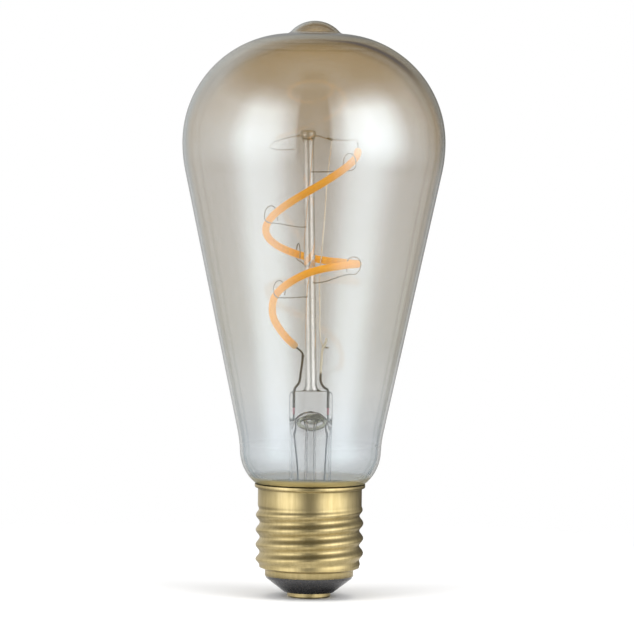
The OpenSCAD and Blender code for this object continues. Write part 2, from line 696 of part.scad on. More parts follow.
module contact_plate() {
    edge = 0.4;
    color([0.8, 0.66, 0.36])
    rotate_extrude($fn = 96)
    polygon(concat([[eyelet_bore_d / 2, 0]], arc([contact_r - edge, edge], edge, -90, 0),
        [[contact_r, contact_t], [eyelet_d / 2, contact_t], [eyelet_d / 2, insulator_top + 0.5],
            [eyelet_bore_d / 2, insulator_top + 0.5]]));
}

module contact_solder() {
    color([0.75, 0.75, 0.76])
    difference() {
        cylinder(d = eyelet_bore_d, h = contact_t + 0.6, $fn = 32);
        at([0, 0, contact_t / 2]) cylinder(d = hookup_d, h = 2 * contact_t, $fn = 24);
    }
}

// Solder spot under the lip, and the one inside the collar that holds the wire
module side_solder() {
    color([0.75, 0.75, 0.76])
    difference() {
        at([0, collar_r, lip_z - 1.05]) sphere(r = side_solder_r, $fn = 32);
        at([0, 0, lip_z - 2]) cylinder(r = collar_r + fit_gap, h = 2, $fn = 96);
    }
    color([0.75, 0.75, 0.76])
    at([0, inner_solder_y, inner_solder_z]) sphere(r = inner_solder_r, $fn = 32);
}

inner_solder_r = 0.42;
inner_solder_y = collar_r - shell_wall - inner_solder_r - fit_gap;
inner_solder_z = lip_z - 0.9;

module basing_cement() {
    top = lip_z - 0.4;
    low = top - cement_h;
    slot_w = 1.2;
    step = thread_z1 + 0.4;
    wall_r = root_r - shell_wall - shell_gap;
    color([0.8, 0.76, 0.68])
    difference() {
        rotate_extrude($fn = 96) difference() {
            polygon([[neck_bore_r, low], [wall_r, low], [wall_r, step],
                [collar_r - shell_wall - shell_gap, step],
                [collar_r - shell_wall - shell_gap, top], [neck_bore_r, top]]);
            polygon([[0, low - 1], [neck_r + fit_gap, low - 1],
                [neck_r + fit_gap, neck_fillet_centre.y], [neck_r + 0.3, top + 0.1],
                [0, top + 0.1]]);
        }
        at([-slot_w / 2, neck_r - 0.3, low - 1]) cube([slot_w, lip_r - neck_r + 1.3, cement_h + 2]);
    }
}

// Driver

function spread(x, y) = [for (i = [-1, 1], j = [-1, 1]) [i * x, j * y]];
rectifier_at = [0, 5.4];
ic_at = [0, -5.2];
capacitor_at = [0, -4.6];
varistor_at = [-4.6, 4.4];
fuse_at = [3.6, 4.6];
live_pad = [1.6, 1.2];
neutral_pad = [0, 8.9];
capacitor_leg = capacitor_l / 2 + 0.9;
fuse_leg = fuse_l / 2 + 0.9;
varistor_leg = 1.6;

module driver_board() {
    legs = concat([for (y = [-1, 1]) capacitor_at + [capacitor_leg, y]],
        [for (x = [-1, 1]) varistor_at + [x * varistor_leg, 0]],
        [for (x = [-1, 1]) fuse_at + [x * fuse_leg, 0]]);
    color([0.15, 0.4, 0.25])
    difference() {
        at([0, 0, board_z]) cylinder(d = board_d, h = board_t, $fn = 96);
        for (p = [pad_left, pad_right]) at([p.x, p.y, board_z - 1])
        cylinder(d = outer_lead_d, h = board_t + 2, $fn = 24);
        for (p = [live_pad, neutral_pad]) at([p.x, p.y, board_z - 1])
        cylinder(d = hookup_d, h = board_t + 2, $fn = 24);
        for (p = legs) at([p.x, p.y, board_z - 1])
        cylinder(d = leg_d + 2 * fit_gap, h = board_t + 2, $fn = 24);
    }
}

// Moulded package with gull-wing legs along its two long sides
module package(w, l, h, legs, pitch) {
    lift = 0.1;
    leg = 0.9;
    color([0.1, 0.1, 0.11])
    at([-w / 2, -l / 2, lift]) cube([w, l, h - lift]);
    color([0.75, 0.75, 0.76])
    for (i = [0 : legs - 1], side = [0, 180]) rotate([0, 0, side])
    at([(i - (legs - 1) / 2) * pitch, l / 2, 0]) rotate([0, 0, 90])
    rotate([90, 0, 0]) linear_extrude(height = 0.4, center = true)
    polygon([[0, h * 0.5], [0, h * 0.5 - 0.2], [leg * 0.4, h * 0.5 - 0.2], [leg * 0.4, 0], [leg, 0],
        [leg, 0.2], [leg * 0.4 + 0.2, 0.2], [leg * 0.4 + 0.2, h * 0.5]]);
}

module bridge_rectifier() {
    at([rectifier_at.x, rectifier_at.y, board_top]) package(4.7, 3.8, rectifier_h, 2, 2.5);
}

module driver_ic() {
    at([ic_at.x, ic_at.y, board_top]) package(4.9, 3.9, ic_h, 4, 1.27);
}

module smoothing_capacitor() {
    r = capacitor_d / 2;
    groove = 0.25;
    z = board_z - r - 0.1;
    color([0.12, 0.13, 0.2])
    at([capacitor_at.x - capacitor_l / 2, capacitor_at.y, z]) rotate([0, 90, 0]) rotate_extrude($fn = 64)
    polygon([[0, 0], [r - 0.3, 0], [r, 0.3], [r, capacitor_l - 1.6], [r - groove, capacitor_l - 1.3],
        [r - groove, capacitor_l - 1], [r, capacitor_l - 0.7], [r, capacitor_l - 0.2],
        [r - 0.2, capacitor_l], [0, capacitor_l]]);
    color([0.75, 0.75, 0.76])
    for (y = [-1, 1]) at([capacitor_at.x, capacitor_at.y + y, z]) {
        at([capacitor_l / 2 - 0.1, 0, 0]) rotate([0, 90, 0])
        cylinder(d = leg_d, h = capacitor_leg - capacitor_l / 2 + 0.1, $fn = 24);
        at([capacitor_leg, 0, 0]) sphere(d = leg_d, $fn = 24);
        at([capacitor_leg, 0, 0]) cylinder(d = leg_d, h = board_top - z, $fn = 24);
    }
}

module surge_varistor() {
    z = board_z - varistor_d / 2 - 0.4;
    color([0.2, 0.35, 0.7])
    at([varistor_at.x, varistor_at.y, z]) rotate([90, 0, 0])
    cylinder(d = varistor_d, h = varistor_t, center = true, $fn = 64);
    color([0.75, 0.75, 0.76])
    for (x = [-1, 1]) at([varistor_at.x + x * varistor_leg, varistor_at.y, z])
    cylinder(d = leg_d, h = board_top - z, $fn = 24);
}

module fuse_resistor() {
    r = fuse_d / 2;
    z = board_z - r - 0.5;
    color([0.3, 0.45, 0.4])
    at([fuse_at.x - fuse_l / 2, fuse_at.y, z]) rotate([0, 90, 0]) rotate_extrude($fn = 48)
    polygon([[0, 0], [r - 0.3, 0], [r, 0.4], [r, 1.2], [r - 0.2, 1.6], [r - 0.2, fuse_l - 1.6],
        [r, fuse_l - 1.2], [r, fuse_l - 0.4], [r - 0.3, fuse_l], [0, fuse_l]]);
    color([0.75, 0.75, 0.76])
    for (side = [0, 180]) at([fuse_at.x, fuse_at.y, z]) rotate([0, 0, side]) {
        at([fuse_l / 2 - 0.1, 0, 0]) rotate([0, 90, 0])
        cylinder(d = leg_d, h = fuse_leg - fuse_l / 2 + 0.1, $fn = 24);
        at([fuse_leg, 0, 0]) sphere(d = leg_d, $fn = 24);
        at([fuse_leg, 0, 0]) cylinder(d = leg_d, h = board_top - z, $fn = 24);
    }
}

module chip_resistors() {
    color([0.13, 0.13, 0.14])
    for (p = spread(6, 3)) at([p.x, p.y, board_top + 0.3]) cube([1.2, 1.2, 0.6], center = true);
    color([0.78, 0.78, 0.78])
    for (p = spread(6, 3), side = [-1, 1]) at([p.x, p.y + side * 0.8, board_top + 0.3])
    cube([1.2, 0.4, 0.6], center = true);
}

module live_wire() {
    color([0.7, 0.2, 0.15])
    wire(curve([[0, 0, contact_t / 2], [0, 0, contact_t], [0, 0, insulator_top], [0.2, 0.1, 5.6],
        [live_pad.x - 0.2, live_pad.y - 0.1, 7.6], [live_pad.x, live_pad.y, board_z - 1],
        [live_pad.x, live_pad.y, board_z], [live_pad.x, live_pad.y, board_top + 0.3]]),
        hookup_d, [0, 1, 0]);
}

// Wire that runs up behind the board, through the slot in the cement, to the collar
module neutral_wire() {
    slot = neck_r + neck_gap / 2;
    y = neutral_pad.y;
    color([0.72, 0.66, 0.5])
    wire(curve([[0, y, board_z], [0, y, board_top], [0, y, board_top + 0.3],
        [0, y + 0.3, board_top + 1], [0, neck_r - 0.4, board_top + 1.6],
        [0, slot, seal_z - tube_wall - 0.2], [0, slot, seal_z + 1], [0, slot, thread_z1],
        [0, slot + 0.05, thread_z1 + 1], [0, inner_solder_y, inner_solder_z - inner_solder_r - 1],
        [0, inner_solder_y, inner_solder_z - inner_solder_r - fit_gap / 2]]), hookup_d, [1, 0, 0]);
}

bulb_envelope();
stem_flare();
exhaust_tube();
glass_rod();
inner_lead_left();
inner_lead_right();
dumet_seal_left();
dumet_seal_right();
outer_lead_left();
outer_lead_right();
return_wire();
top_support();
top_hook();
support_upper_right();
support_upper_left();
support_back();
support_lower_right();
support_lower_left();
filament_coating();
filament_carrier();
led_chips();
filament_pin_top();
filament_pin_bottom();
cap_shell();
cap_insulator();
contact_plate();
contact_solder();
side_solder();
basing_cement();
driver_board();
bridge_rectifier();
driver_ic();
smoothing_capacitor();
surge_varistor();
fuse_resistor();
chip_resistors();
live_wire();
neutral_wire();
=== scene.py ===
import math

import bpy
import numpy as np
from mathutils import Matrix, Vector


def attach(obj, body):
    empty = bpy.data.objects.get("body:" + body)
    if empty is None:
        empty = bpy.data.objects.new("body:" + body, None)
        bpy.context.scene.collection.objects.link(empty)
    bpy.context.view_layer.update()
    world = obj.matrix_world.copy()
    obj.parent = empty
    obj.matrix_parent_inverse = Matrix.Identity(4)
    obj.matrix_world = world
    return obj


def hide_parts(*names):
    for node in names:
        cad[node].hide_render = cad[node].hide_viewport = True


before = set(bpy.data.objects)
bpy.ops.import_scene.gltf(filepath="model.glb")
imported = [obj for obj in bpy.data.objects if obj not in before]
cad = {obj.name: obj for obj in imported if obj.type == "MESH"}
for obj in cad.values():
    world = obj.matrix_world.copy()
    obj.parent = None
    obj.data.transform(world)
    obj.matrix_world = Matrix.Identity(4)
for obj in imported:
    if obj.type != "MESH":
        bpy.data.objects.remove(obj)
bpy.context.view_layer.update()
bpy.ops.object.select_all(action="DESELECT")


# Stem: a flared tube of clear glass, fused to the bulb's neck at its foot. Its top was heated, closed in an
# arch over the exhaust tube and pinched flat round the wires. Air blew a port through the soft arch, whose
# rim sank into puddles.

MM = 0.001


class Finish:
    """One value in a finish's nodes. Sums on it add Math nodes, and node() adds any other node."""

    def __init__(self, tree, socket=None):
        self.tree = tree
        self.socket = socket

    def node(self, kind, settings=None, inputs=None, output=0):
        added = self.tree.nodes.new("ShaderNode" + kind)
        for key, value in (settings or {}).items():
            if key == "stops":
                stops = added.color_ramp.elements
                for end, (place, colour) in ((0, value[0]), (-1, value[-1])):
                    stops[end].position = place
                    stops[end].color = (*colour, 1.0)
                for place, colour in value[1:-1]:
                    stops.new(place).color = (*colour, 1.0)
            else:
                setattr(added, key, value)
        for key, value in (inputs or {}).items():
            if isinstance(value, Finish):
                self.tree.links.new(value.socket, added.inputs[key])
            else:
                added.inputs[key].default_value = value
        return Finish(self.tree, added.outputs[output])

    def maths(self, operation, first, second=0.0):
        return self.node("Math", {"operation": operation}, {0: first, 1: second})

    def __add__(self, other):
        return self.maths("ADD", self, other)

    def __radd__(self, other):
        return self.maths("ADD", other, self)

    def __sub__(self, other):
        return self.maths("SUBTRACT", self, other)

    def __rsub__(self, other):
        return self.maths("SUBTRACT", other, self)

    def __mul__(self, other):
        return self.maths("MULTIPLY", self, other)

    def __rmul__(self, other):
        return self.maths("MULTIPLY", other, self)

    def __truediv__(self, other):
        return self.maths("DIVIDE", self, other)

    def __pow__(self, other):
        return self.maths("POWER", self, other)

    def absolute(self):
        return self.maths("ABSOLUTE", self)

    def at_least(self, other):
        return self.maths("MAXIMUM", self, other)

    def at_most(self, other):
        return self.maths("MINIMUM", self, other)

    def between(self, first, second):
        """Colour that goes from first to second as this value goes from 0 to 1."""
        colours = [c if isinstance(c, Finish) else (*c, 1.0) for c in (first, second)]
        return self.node("Mix", {"data_type": "RGBA"}, {0: self, 6: colours[0], 7: colours[1]}, 2)

    def fade(self, low, high):
        """Goes smoothly from 0 at low to 1 at high."""
        return self.node("MapRange", {"interpolation_type": "SMOOTHSTEP"},
                         {"Value": self, "From Min": low, "From Max": high}, "Result")

    def near(self, centre, reach):
        """1 at the centre, and smoothly down to 0 at reach from it."""
        return 1 - (self - centre).absolute().fade(0.0, reach)

    def ramp(self, *stops):
        """Colours of (place, colour) stops over this value. A plain number is a grey."""
        stops = [(place, colour if isinstance(colour, tuple) else (colour,) * 3) for place, colour in stops]
        return self.node("ValToRGB", {"stops": stops}, {"Fac": self})

    def axis(self, name):
        return self.node("SeparateXYZ", None, {0: self}, name)

    def from_upright(self):
        """How far this place lies from the upright axis."""
        flat = self.node("VectorMath", {"operation": "MULTIPLY"}, {0: self, 1: (1.0, 1.0, 0.0)})
        return self.node("VectorMath", {"operation": "LENGTH"}, {0: flat}, "Value")

    def noise(self, scale, detail=2.0, roughness=0.5):
        return self.node("TexNoise", None, {"Vector": self, "Scale": scale, "Detail": detail,
                                            "Roughness": roughness}, "Fac")

    def bump(self, strength, distance):
        return self.node("Bump", None, {"Height": self, "Strength": strength, "Distance": distance}, "Normal")

    def lay(self):
        """Ends the finish with this shader as the surface."""
        output = self.tree.nodes.new("ShaderNodeOutputMaterial")
        self.tree.links.new(self.socket, output.inputs["Surface"])


def new_finish(name):
    material = bpy.data.materials.new(name)
    material.use_nodes = True
    material.node_tree.nodes.clear()
    start = Finish(material.node_tree)
    return material, start, start.node("TexCoord", None, None, "Object")


def clear_glass(name, tint, scale, density, gloss=0.0, deeper=None):
    """Solid clear glass with the slight waves of drawn tube. density is how strongly it bends light, gloss adds
    a brighter skin, and deeper is a height and the tint from there up."""
    material, start, place = new_finish(name)
    drawn_out = start.node("Mapping", None, {"Vector": place, "Scale": (1.0, 1.0, 0.05)})
    waves = drawn_out.noise(scale)
    colour = waves.between(tint, [0.995 * c for c in tint])
    if deeper:
        from_height, deep_tint = deeper
        colour = place.axis("Z").fade(from_height - 0.0004, from_height + 0.0004).between(colour, deep_tint)
    start.node("BsdfPrincipled", None, {
        "Base Color": colour, "Roughness": 0.0, "IOR": density, "Transmission Weight": 1.0, "Coat Weight": gloss,
        "Coat IOR": 3.6, "Normal": waves.bump(0.01, 0.0001)}).lay()
    return material


def drawn(name, rings, ends=True):
    """Extrudes a circle once for each next ring, and sets every ring to its own points."""
    count = len(rings[0])
    bpy.ops.mesh.primitive_circle_add(vertices=count, radius=1.0, location=(0, 0, 0))
    piece = bpy.context.object
    piece.name = name
    bpy.ops.object.mode_set(mode="EDIT")
    for _ in rings[1:]:
        bpy.ops.mesh.extrude_region_move(TRANSFORM_OT_translate={"value": (0, 0, 1.0)})
    bpy.ops.object.mode_set(mode="OBJECT")
    mesh = piece.data
    grid = np.array(rings, dtype=float)
    spots = np.empty(len(mesh.vertices) * 3)
    mesh.vertices.foreach_get("co", spots)
    spots = spots.reshape(-1, 3)
    first = math.atan2(spots[0, 1], spots[0, 0])
    turn = (np.arctan2(spots[:, 1], spots[:, 0]) - first) / (2 * math.pi) * count
    column = np.rint(turn).astype(int) % count
    row = np.rint(spots[:, 2]).astype(int)
    mesh.vertices.foreach_set("co", (grid[row, column] * MM).reshape(-1))
    mesh.update()
    bpy.ops.object.mode_set(mode="EDIT")
    if ends:
        bpy.ops.mesh.select_all(action="DESELECT")
        bpy.ops.mesh.select_mode(type="EDGE")
        bpy.ops.mesh.select_non_manifold()
        bpy.ops.mesh.edge_face_add()
        bpy.ops.mesh.select_mode(type="VERT")
    bpy.ops.mesh.select_all(action="SELECT")
    bpy.ops.mesh.normals_make_consistent(inside=False)
    bpy.ops.object.mode_set(mode="OBJECT")
    bpy.ops.object.shade_smooth_by_angle(angle=math.radians(50))
    return piece


def closed():
    """Merges the active piece's points that lie on each other, and turns its faces outwards."""
    bpy.ops.object.mode_set(mode="EDIT")
    bpy.ops.mesh.select_all(action="SELECT")
    bpy.ops.mesh.remove_doubles(threshold=0.000002)
    bpy.ops.mesh.normals_make_consistent(inside=False)
    bpy.ops.object.mode_set(mode="OBJECT")


def spun(name, outline, steps):
    """Spins an outline of [radius, height] points round the axis into a closed skin."""
    bpy.ops.mesh.primitive_plane_add(size=0.001, location=(outline[0][0] * MM, 0, outline[0][1] * MM))
    piece = bpy.context.object
    piece.name = name
    bpy.ops.object.transform_apply(location=True, rotation=False, scale=False)
    bpy.ops.object.mode_set(mode="EDIT")
    bpy.ops.mesh.select_all(action="SELECT")
    bpy.ops.mesh.merge(type="CENTER")
    for (r0, z0), (r1, z1) in zip(outline, outline[1:]):
        bpy.ops.mesh.extrude_region_move(
            TRANSFORM_OT_translate={"value": ((r1 - r0) * MM, 0, (z1 - z0) * MM)})
    bpy.ops.mesh.select_all(action="SELECT")
    bpy.ops.mesh.spin(steps=steps, angle=2 * math.pi, center=(0, 0, 0), axis=(0, 0, 1))
    bpy.ops.object.mode_set(mode="OBJECT")
    closed()
    bpy.ops.object.shade_smooth_by_angle(angle=math.radians(50))
    return piece


def coated(thing, material):
    """Gives an object this one finish, and leaves its shape alone."""
    thing.data.materials.clear()
    thing.data.materials.append(material)


def finished(piece, material, slot, *nodes):
    """Gives the piece its finish, hangs it under the root, and hides the parts of the frame that it stands for."""
    coated(piece, material)
    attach(piece, "root")
    if nodes:
        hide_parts(*nodes)
    piece.select_set(False)


def pinched(half_width, half_depth, height, power, count=96):
    """One ring of the stem: round at power 2, and more like a flat block as power grows."""
    ring = []
    for k in range(count):
        c, s = math.cos(2 * math.pi * k / count), math.sin(2 * math.pi * k / count)
        ring.append([half_width * math.copysign(abs(c) ** (2 / power), c),
                     half_depth * math.copysign(abs(s) ** (2 / power), s), height])
    return ring


def steady(u):
    """Goes from 0 to 1 with level ends."""
    u = min(max(u, 0.0), 1.0)
    return u * u * (3 - 2 * u)


press_top, press_shoulder = 50.3, 49.2
press_half_width, press_half_depth, press_squareness = 5.3, 1.85, 4.6
stem_foot, flare_top, pinch_foot, pinch_top = 15.5, 21.1, 38.6, 44.4
stem_seal_r, stem_tube_r, stem_bore_r = 11.35, 5.1, 4.5
shoulder_in_x, shoulder_in_y, shoulder_rise = 1.1, 0.45, 1.05


def flared(mouth_r, tube_r, mouth_drop=0.0):
    """Rings of the flare at the stem's foot and of the straight tube over it."""
    rings = []
    for k in range(10):
        a = math.radians(9.5 * k)
        r = mouth_r - (mouth_r - tube_r) * math.sin(a)
        rings.append(pinched(r, r, flare_top - (flare_top + mouth_drop - stem_foot) * math.cos(a), 2))
    for k in range(1, 13):
        rings.append(pinched(tube_r, tube_r, flare_top + (pinch_foot - flare_top) * k / 12, 2))
    return rings


stem_rings = flared(stem_seal_r, stem_tube_r)
for k in range(1, 17):
    flatness = steady(k / 16)
    stem_rings.append(pinched(stem_tube_r + (press_half_width - stem_tube_r) * flatness,
                              stem_tube_r + (press_half_depth - stem_tube_r) * flatness,
                              pinch_foot + (pinch_top - pinch_foot) * k / 16, 2 + (press_squareness - 2) * flatness))
for k in range(1, 8):
    stem_rings.append(pinched(press_half_width, press_half_depth, pinch_top + (press_shoulder - pinch_top) * k / 7,
                              press_squareness))
for k in range(1, 8):
    a = math.radians(90 * k / 7)
    shrink = 1 - math.cos(a)
    stem_rings.append(pinched(press_half_width - shoulder_in_x * shrink, press_half_depth - shoulder_in_y * shrink,
                              press_shoulder + shoulder_rise * math.sin(a), press_squareness))
stem_rings.append(pinched(2.6, 1.0, press_top, 3))

# The bore follows the tube's wall and closes in the arch.
arch_height = 6.8
bore_rings = flared(stem_seal_r - 0.05, stem_bore_r, 0.6)
for k in range(1, 25):
    u = k / 24
    arch = math.sqrt(max(1 - max(0.0, (u - 0.35) / 0.65) ** 2, 0.0))
    bore_rings.append(pinched(0.15 + 4.35 * arch, 0.1 + (4.4 - 3.25 * steady(u * 1.1)) * arch ** 0.8,
                              pinch_foot + arch_height * u, 2 + 0.5 * steady(u)))
stem = drawn("stem_glass", stem_rings[::-1] + bore_rings)

# Puddles of melted glass round the blown port, one over the other in the arch.
puddles = []
for name, r, thick, squash, tilt, spot in (("port_bead", 3.5, 0.62, 0.6, 48, (0.3, 0.1, 42.3)),
                                           ("port_curl", 2.1, 0.4, 0.6, 50, (0.6, -0.2, 43.5)),
                                           ("port_drop", 0.95, 0.34, 0.7, 50, (1.1, -0.4, 43.7))):
    turns = [math.radians(a) for a in range(0, 361, 24)]
    puddle = spun(name, [[r + thick * math.cos(a), thick * 1.1 * math.sin(a)] for a in turns], 48)
    bpy.ops.object.mode_set(mode="EDIT")
    bpy.ops.mesh.select_all(action="SELECT")
    bpy.ops.transform.resize(value=(1.0, squash, 1.0), center_override=(0, 0, 0))
    bpy.ops.transform.rotate(value=math.radians(tilt), orient_axis="X", center_override=(0, 0, 0))
    bpy.ops.transform.translate(value=[v * MM for v in spot])
    bpy.ops.object.mode_set(mode="OBJECT")
    puddle.select_set(False)
    puddles.append(puddle)

stem_finish = clear_glass("stem_clear_glass", (1.0, 1.0, 1.0), 120.0, 1.47)
finished(stem, stem_finish, "clear_glass", "stem_flare")
# Their olive tint is a painted reflection of the brass cap, which shows through them.
puddle_finish = clear_glass("melted_port_glass", (0.91, 0.92, 0.76), 300.0, 1.55, 0.6)
for puddle in puddles:
    finished(puddle, puddle_finish, "clear_glass")


# Exhaust tube: thin clear tube through which the bulb was pumped and filled, then melted shut at its foot.
# Its upper end is fused into the stem's arch.

exhaust_outline = ([[0.02, 13.2]] + [[1.4 * math.sin(math.radians(a)), 14.6 - 1.4 * math.cos(math.radians(a))]
                                    for a in range(15, 91, 15)]
                   + [[1.4, 20], [1.4, 30], [1.4, 39.5], [1.5, 41], [1.75, 42.4], [1.9, 43.2], [1.7, 43.9],
                      [1.05, 43.9], [0.85, 42.6], [0.8, 40], [0.8, 30], [0.8, 20], [0.75, 16.6], [0.4, 16.1],
                      [0.02, 16.0]])
exhaust = spun("exhaust_glass", exhaust_outline, 48)
exhaust_finish = clear_glass("exhaust_clear_glass", (1.0, 1.0, 0.998), 120.0, 1.48)
finished(exhaust, exhaust_finish, "clear_glass", "exhaust_tube")


# Glass rod: solid clear rod fused to the press, with its top melted into a brownish button that grips two
# wires. It leans a little to the left, and its foot was squeezed with the press into a skirt.

rod_lean, rod_height = 1.3, 63.6
skirt_height, skirt_flatness = 1.2, 0.42
rod_outline = [[0.02, -0.02], [2.5, -0.02], [2.3, 0.08], [1.95, 0.25], [1.68, 0.55], [1.48, 1.0], [1.38, 1.6],
               [1.35, 2.6], [1.35, 10], [1.34, 20], [1.36, 30], [1.34, 40], [1.35, 50], [1.35, 58], [1.36, 60.6],
               [1.45, 61.3], [1.68, 61.8], [1.85, 62.3], [1.9, 62.7], [1.82, 63.1], [1.6, 63.42], [1.2, 63.58],
               [0.6, rod_height], [0.02, rod_height]]
rod = spun("rod_glass", rod_outline, 64)
bpy.ops.object.mode_set(mode="EDIT")
bpy.ops.mesh.select_all(action="SELECT")
bpy.ops.mesh.subdivide(number_cuts=1, smoothness=0.0)
bpy.ops.transform.translate(value=(0, 0, press_top * MM))
bpy.ops.object.mode_set(mode="OBJECT")
for point in rod.data.vertices:
    up_skirt = (point.co.z / MM - press_top) / skirt_height
    point.co.y *= 1 - skirt_flatness * max(0.0, 1 - up_skirt) ** 1.5
rod.data.transform(Matrix.Translation((0, 0, press_top * MM))
                   @ Matrix.Rotation(math.radians(-rod_lean), 4, "Y")
                   @ Matrix.Translation((0, 0, -press_top * MM)))
button_foot, button_tint = 0.1127, (0.62, 0.52, 0.36)
rod_finish = clear_glass("rod_clear_glass", (1.0, 0.99, 0.96), 90.0, 1.5, 1.0, (button_foot, button_tint))
finished(rod, rod_finish, "clear_glass", "glass_rod")


# Wires of the stem: stiff nickel leads above the press, copper-clad seal wires in it that show red, and thin
# outer leads down the tube to the driver. Lead and seal wire are butt-welded end to end.


def path_through(points):
    """Points of a smooth curve through the given points."""
    points = [np.array(p, dtype=float) for p in points]
    steps = 6

    def slope(i):
        before = points[i] - points[max(i - 1, 0)]
        after = points[min(i + 1, len(points) - 1)] - points[i]
        if i == 0:
            return after / np.linalg.norm(after)
        if i == len(points) - 1:
            return before / np.linalg.norm(before)
        a, b = np.linalg.norm(before), np.linalg.norm(after)
        return (before / a * b + after / b * a) / (a + b)

    path = [points[0]]
    for i in range(len(points) - 1):
        b, c = points[i], points[i + 1]
        span = np.linalg.norm(c - b)
        for s in range(1, steps + 1):
            u = s / steps
            path.append(b * (2 * u ** 3 - 3 * u ** 2 + 1) + c * (3 * u ** 2 - 2 * u ** 3)
                        + span * slope(i) * (u ** 3 - 2 * u ** 2 + u) + span * slope(i + 1) * (u ** 3 - u ** 2))
    return path


def wire(name, points, diameter, swells=(), sides=10):
    """Draws a round wire through the points, with weld swells given as (point, size, reach)."""
    path = path_through(points)
    headings = []
    for i in range(len(path)):
        t = path[min(i + 1, len(path) - 1)] - path[max(i - 1, 0)]
        headings.append(t / np.linalg.norm(t))
    side = np.cross(headings[0], [0.3, 0.9, 0.2])
    rings = []
    for i, (p, t) in enumerate(zip(path, headings)):
        side = side - t * np.dot(side, t)
        side = side / np.linalg.norm(side)
        other = np.cross(t, side)
        r = diameter / 2
        for spot, size, reach in swells:
            gap = np.linalg.norm(p - np.array(spot))
            r *= 1 + (size - 1) * math.exp(-(gap / reach) ** 2)
        rings.append([p + r * (math.cos(2 * math.pi * k / sides) * side + math.sin(2 * math.pi * k / sides) * other)
                      for k in range(sides)])
    blunt = [[end + 0.55 * (q - end) for q in ring] for end, ring in ((path[0], rings[0]), (path[-1], rings[-1]))]
    return drawn(name, [blunt[0]] + rings + [blunt[1]])


def drawn_metal(name, light, dark, roughness, bare=None):
    """Drawn metal wire, darker where its oxide is thicker. bare holds two heights with no oxide between them."""
    material, start, place = new_finish(name)
    cloud = place.noise(360.0, 3.0)
    marks = place.noise(1800.0, 4.0, 0.7)
    colour = (cloud * 0.6 + marks * 0.4).fade(0.3, 0.7).between(light, dark)
    if bare:
        height = place.axis("Z")
        low, high = [height.fade(edge - 0.0006, edge + 0.0006) for edge in bare]
        colour = (low * (1 - high)).between(colour, (0.82, 0.75, 0.6))
    start.node("BsdfPrincipled", None, {
        "Base Color": colour, "Metallic": 1.0, "Roughness": roughness + marks * 0.15,
        "Normal": marks.bump(0.15, 0.00002)}).lay()
    return material


nickel = drawn_metal("oxidised_nickel", (0.17, 0.14, 0.12), (0.06, 0.05, 0.04), 0.3)
seal_copper = drawn_metal("red_seal_oxide", (0.8, 0.34, 0.4), (0.62, 0.2, 0.26), 0.4)
outer_nickel = drawn_metal("bright_nickel", (0.3, 0.29, 0.29), (0.15, 0.14, 0.14), 0.3)

lead_x = 4.05
dumet_top, dumet_foot, cavity_top = press_top - 4.1, press_top - 5.7, press_top - 6.0
weld_right = [2.9, 0.0, press_top + 10.8]


# Filament's coil, which the wires below also follow: 0 degrees is at the right, 90 in front, 180 at the left
# and 270 behind, running downwards. The flexible strip was wound by hand, so its radius and pitch vary.

rod_top = press_top + rod_height
coil_top, coil_height, coil_radius, coil_end = rod_top - 4.8, 48.4, 11.4, 597
coil_spread = [[0, -0.061], [90, -0.009], [180, 0.009], [270, 0.009], [360, -0.026], [450, -0.07],
               [540, -0.158], [570, -0.298], [coil_end, -0.386]]
coil_drop = [[0, 0], [45, 0.087], [90, 0.194], [135, 0.302], [180, 0.405], [225, 0.494], [270, 0.552],
             [315, 0.57], [360, 0.572], [405, 0.576], [450, 0.607], [495, 0.692], [525, 0.769], [545, 0.847],
             [570, 0.934], [coil_end, 1]]


def eased(rows, a):
    """Value at a on the smooth curve through rows of [angle, value]."""
    i = max(k for k in range(len(rows) - 1) if k == 0 or a >= rows[k][0])

    def slope(k):
        low, high = rows[max(k - 1, 0)], rows[min(k + 1, len(rows) - 1)]
        return (high[1] - low[1]) / (high[0] - low[0])

    span = rows[i + 1][0] - rows[i][0]
    u = (a - rows[i][0]) / span
    return (rows[i][1] * (2 * u ** 3 - 3 * u ** 2 + 1) + rows[i + 1][1] * (3 * u ** 2 - 2 * u ** 3)
            + span * slope(i) * (u ** 3 - 2 * u ** 2 + u) + span * slope(i + 1) * (u ** 3 - u ** 2))


def around(a):
    return np.array([math.cos(math.radians(a)), -math.sin(math.radians(a)), 0.0])


def coil_at(a):
    return coil_radius * (1 + eased(coil_spread, a)) * around(a) + np.array(
        [0, 0, coil_top - coil_height * eased(coil_drop, a)])


def coil_heading(a):
    t = coil_at(min(a + 1, coil_end)) - coil_at(max(a - 1, 0))
    return t / np.linalg.norm(t)


def rod_axis(z):
    return np.array([-(z - press_top) * math.tan(math.radians(rod_lean)), 0.0, z])


lead_end_left = coil_at(coil_end) + np.array([1.7, -1.5, -1.9])
top_weld = coil_at(0) + np.array([-0.1, 0.6, 1.9])
button_wire_z = rod_top - 1.4
return_top = np.array([0.406 * top_weld[0], 0.37, button_wire_z - 0.9])

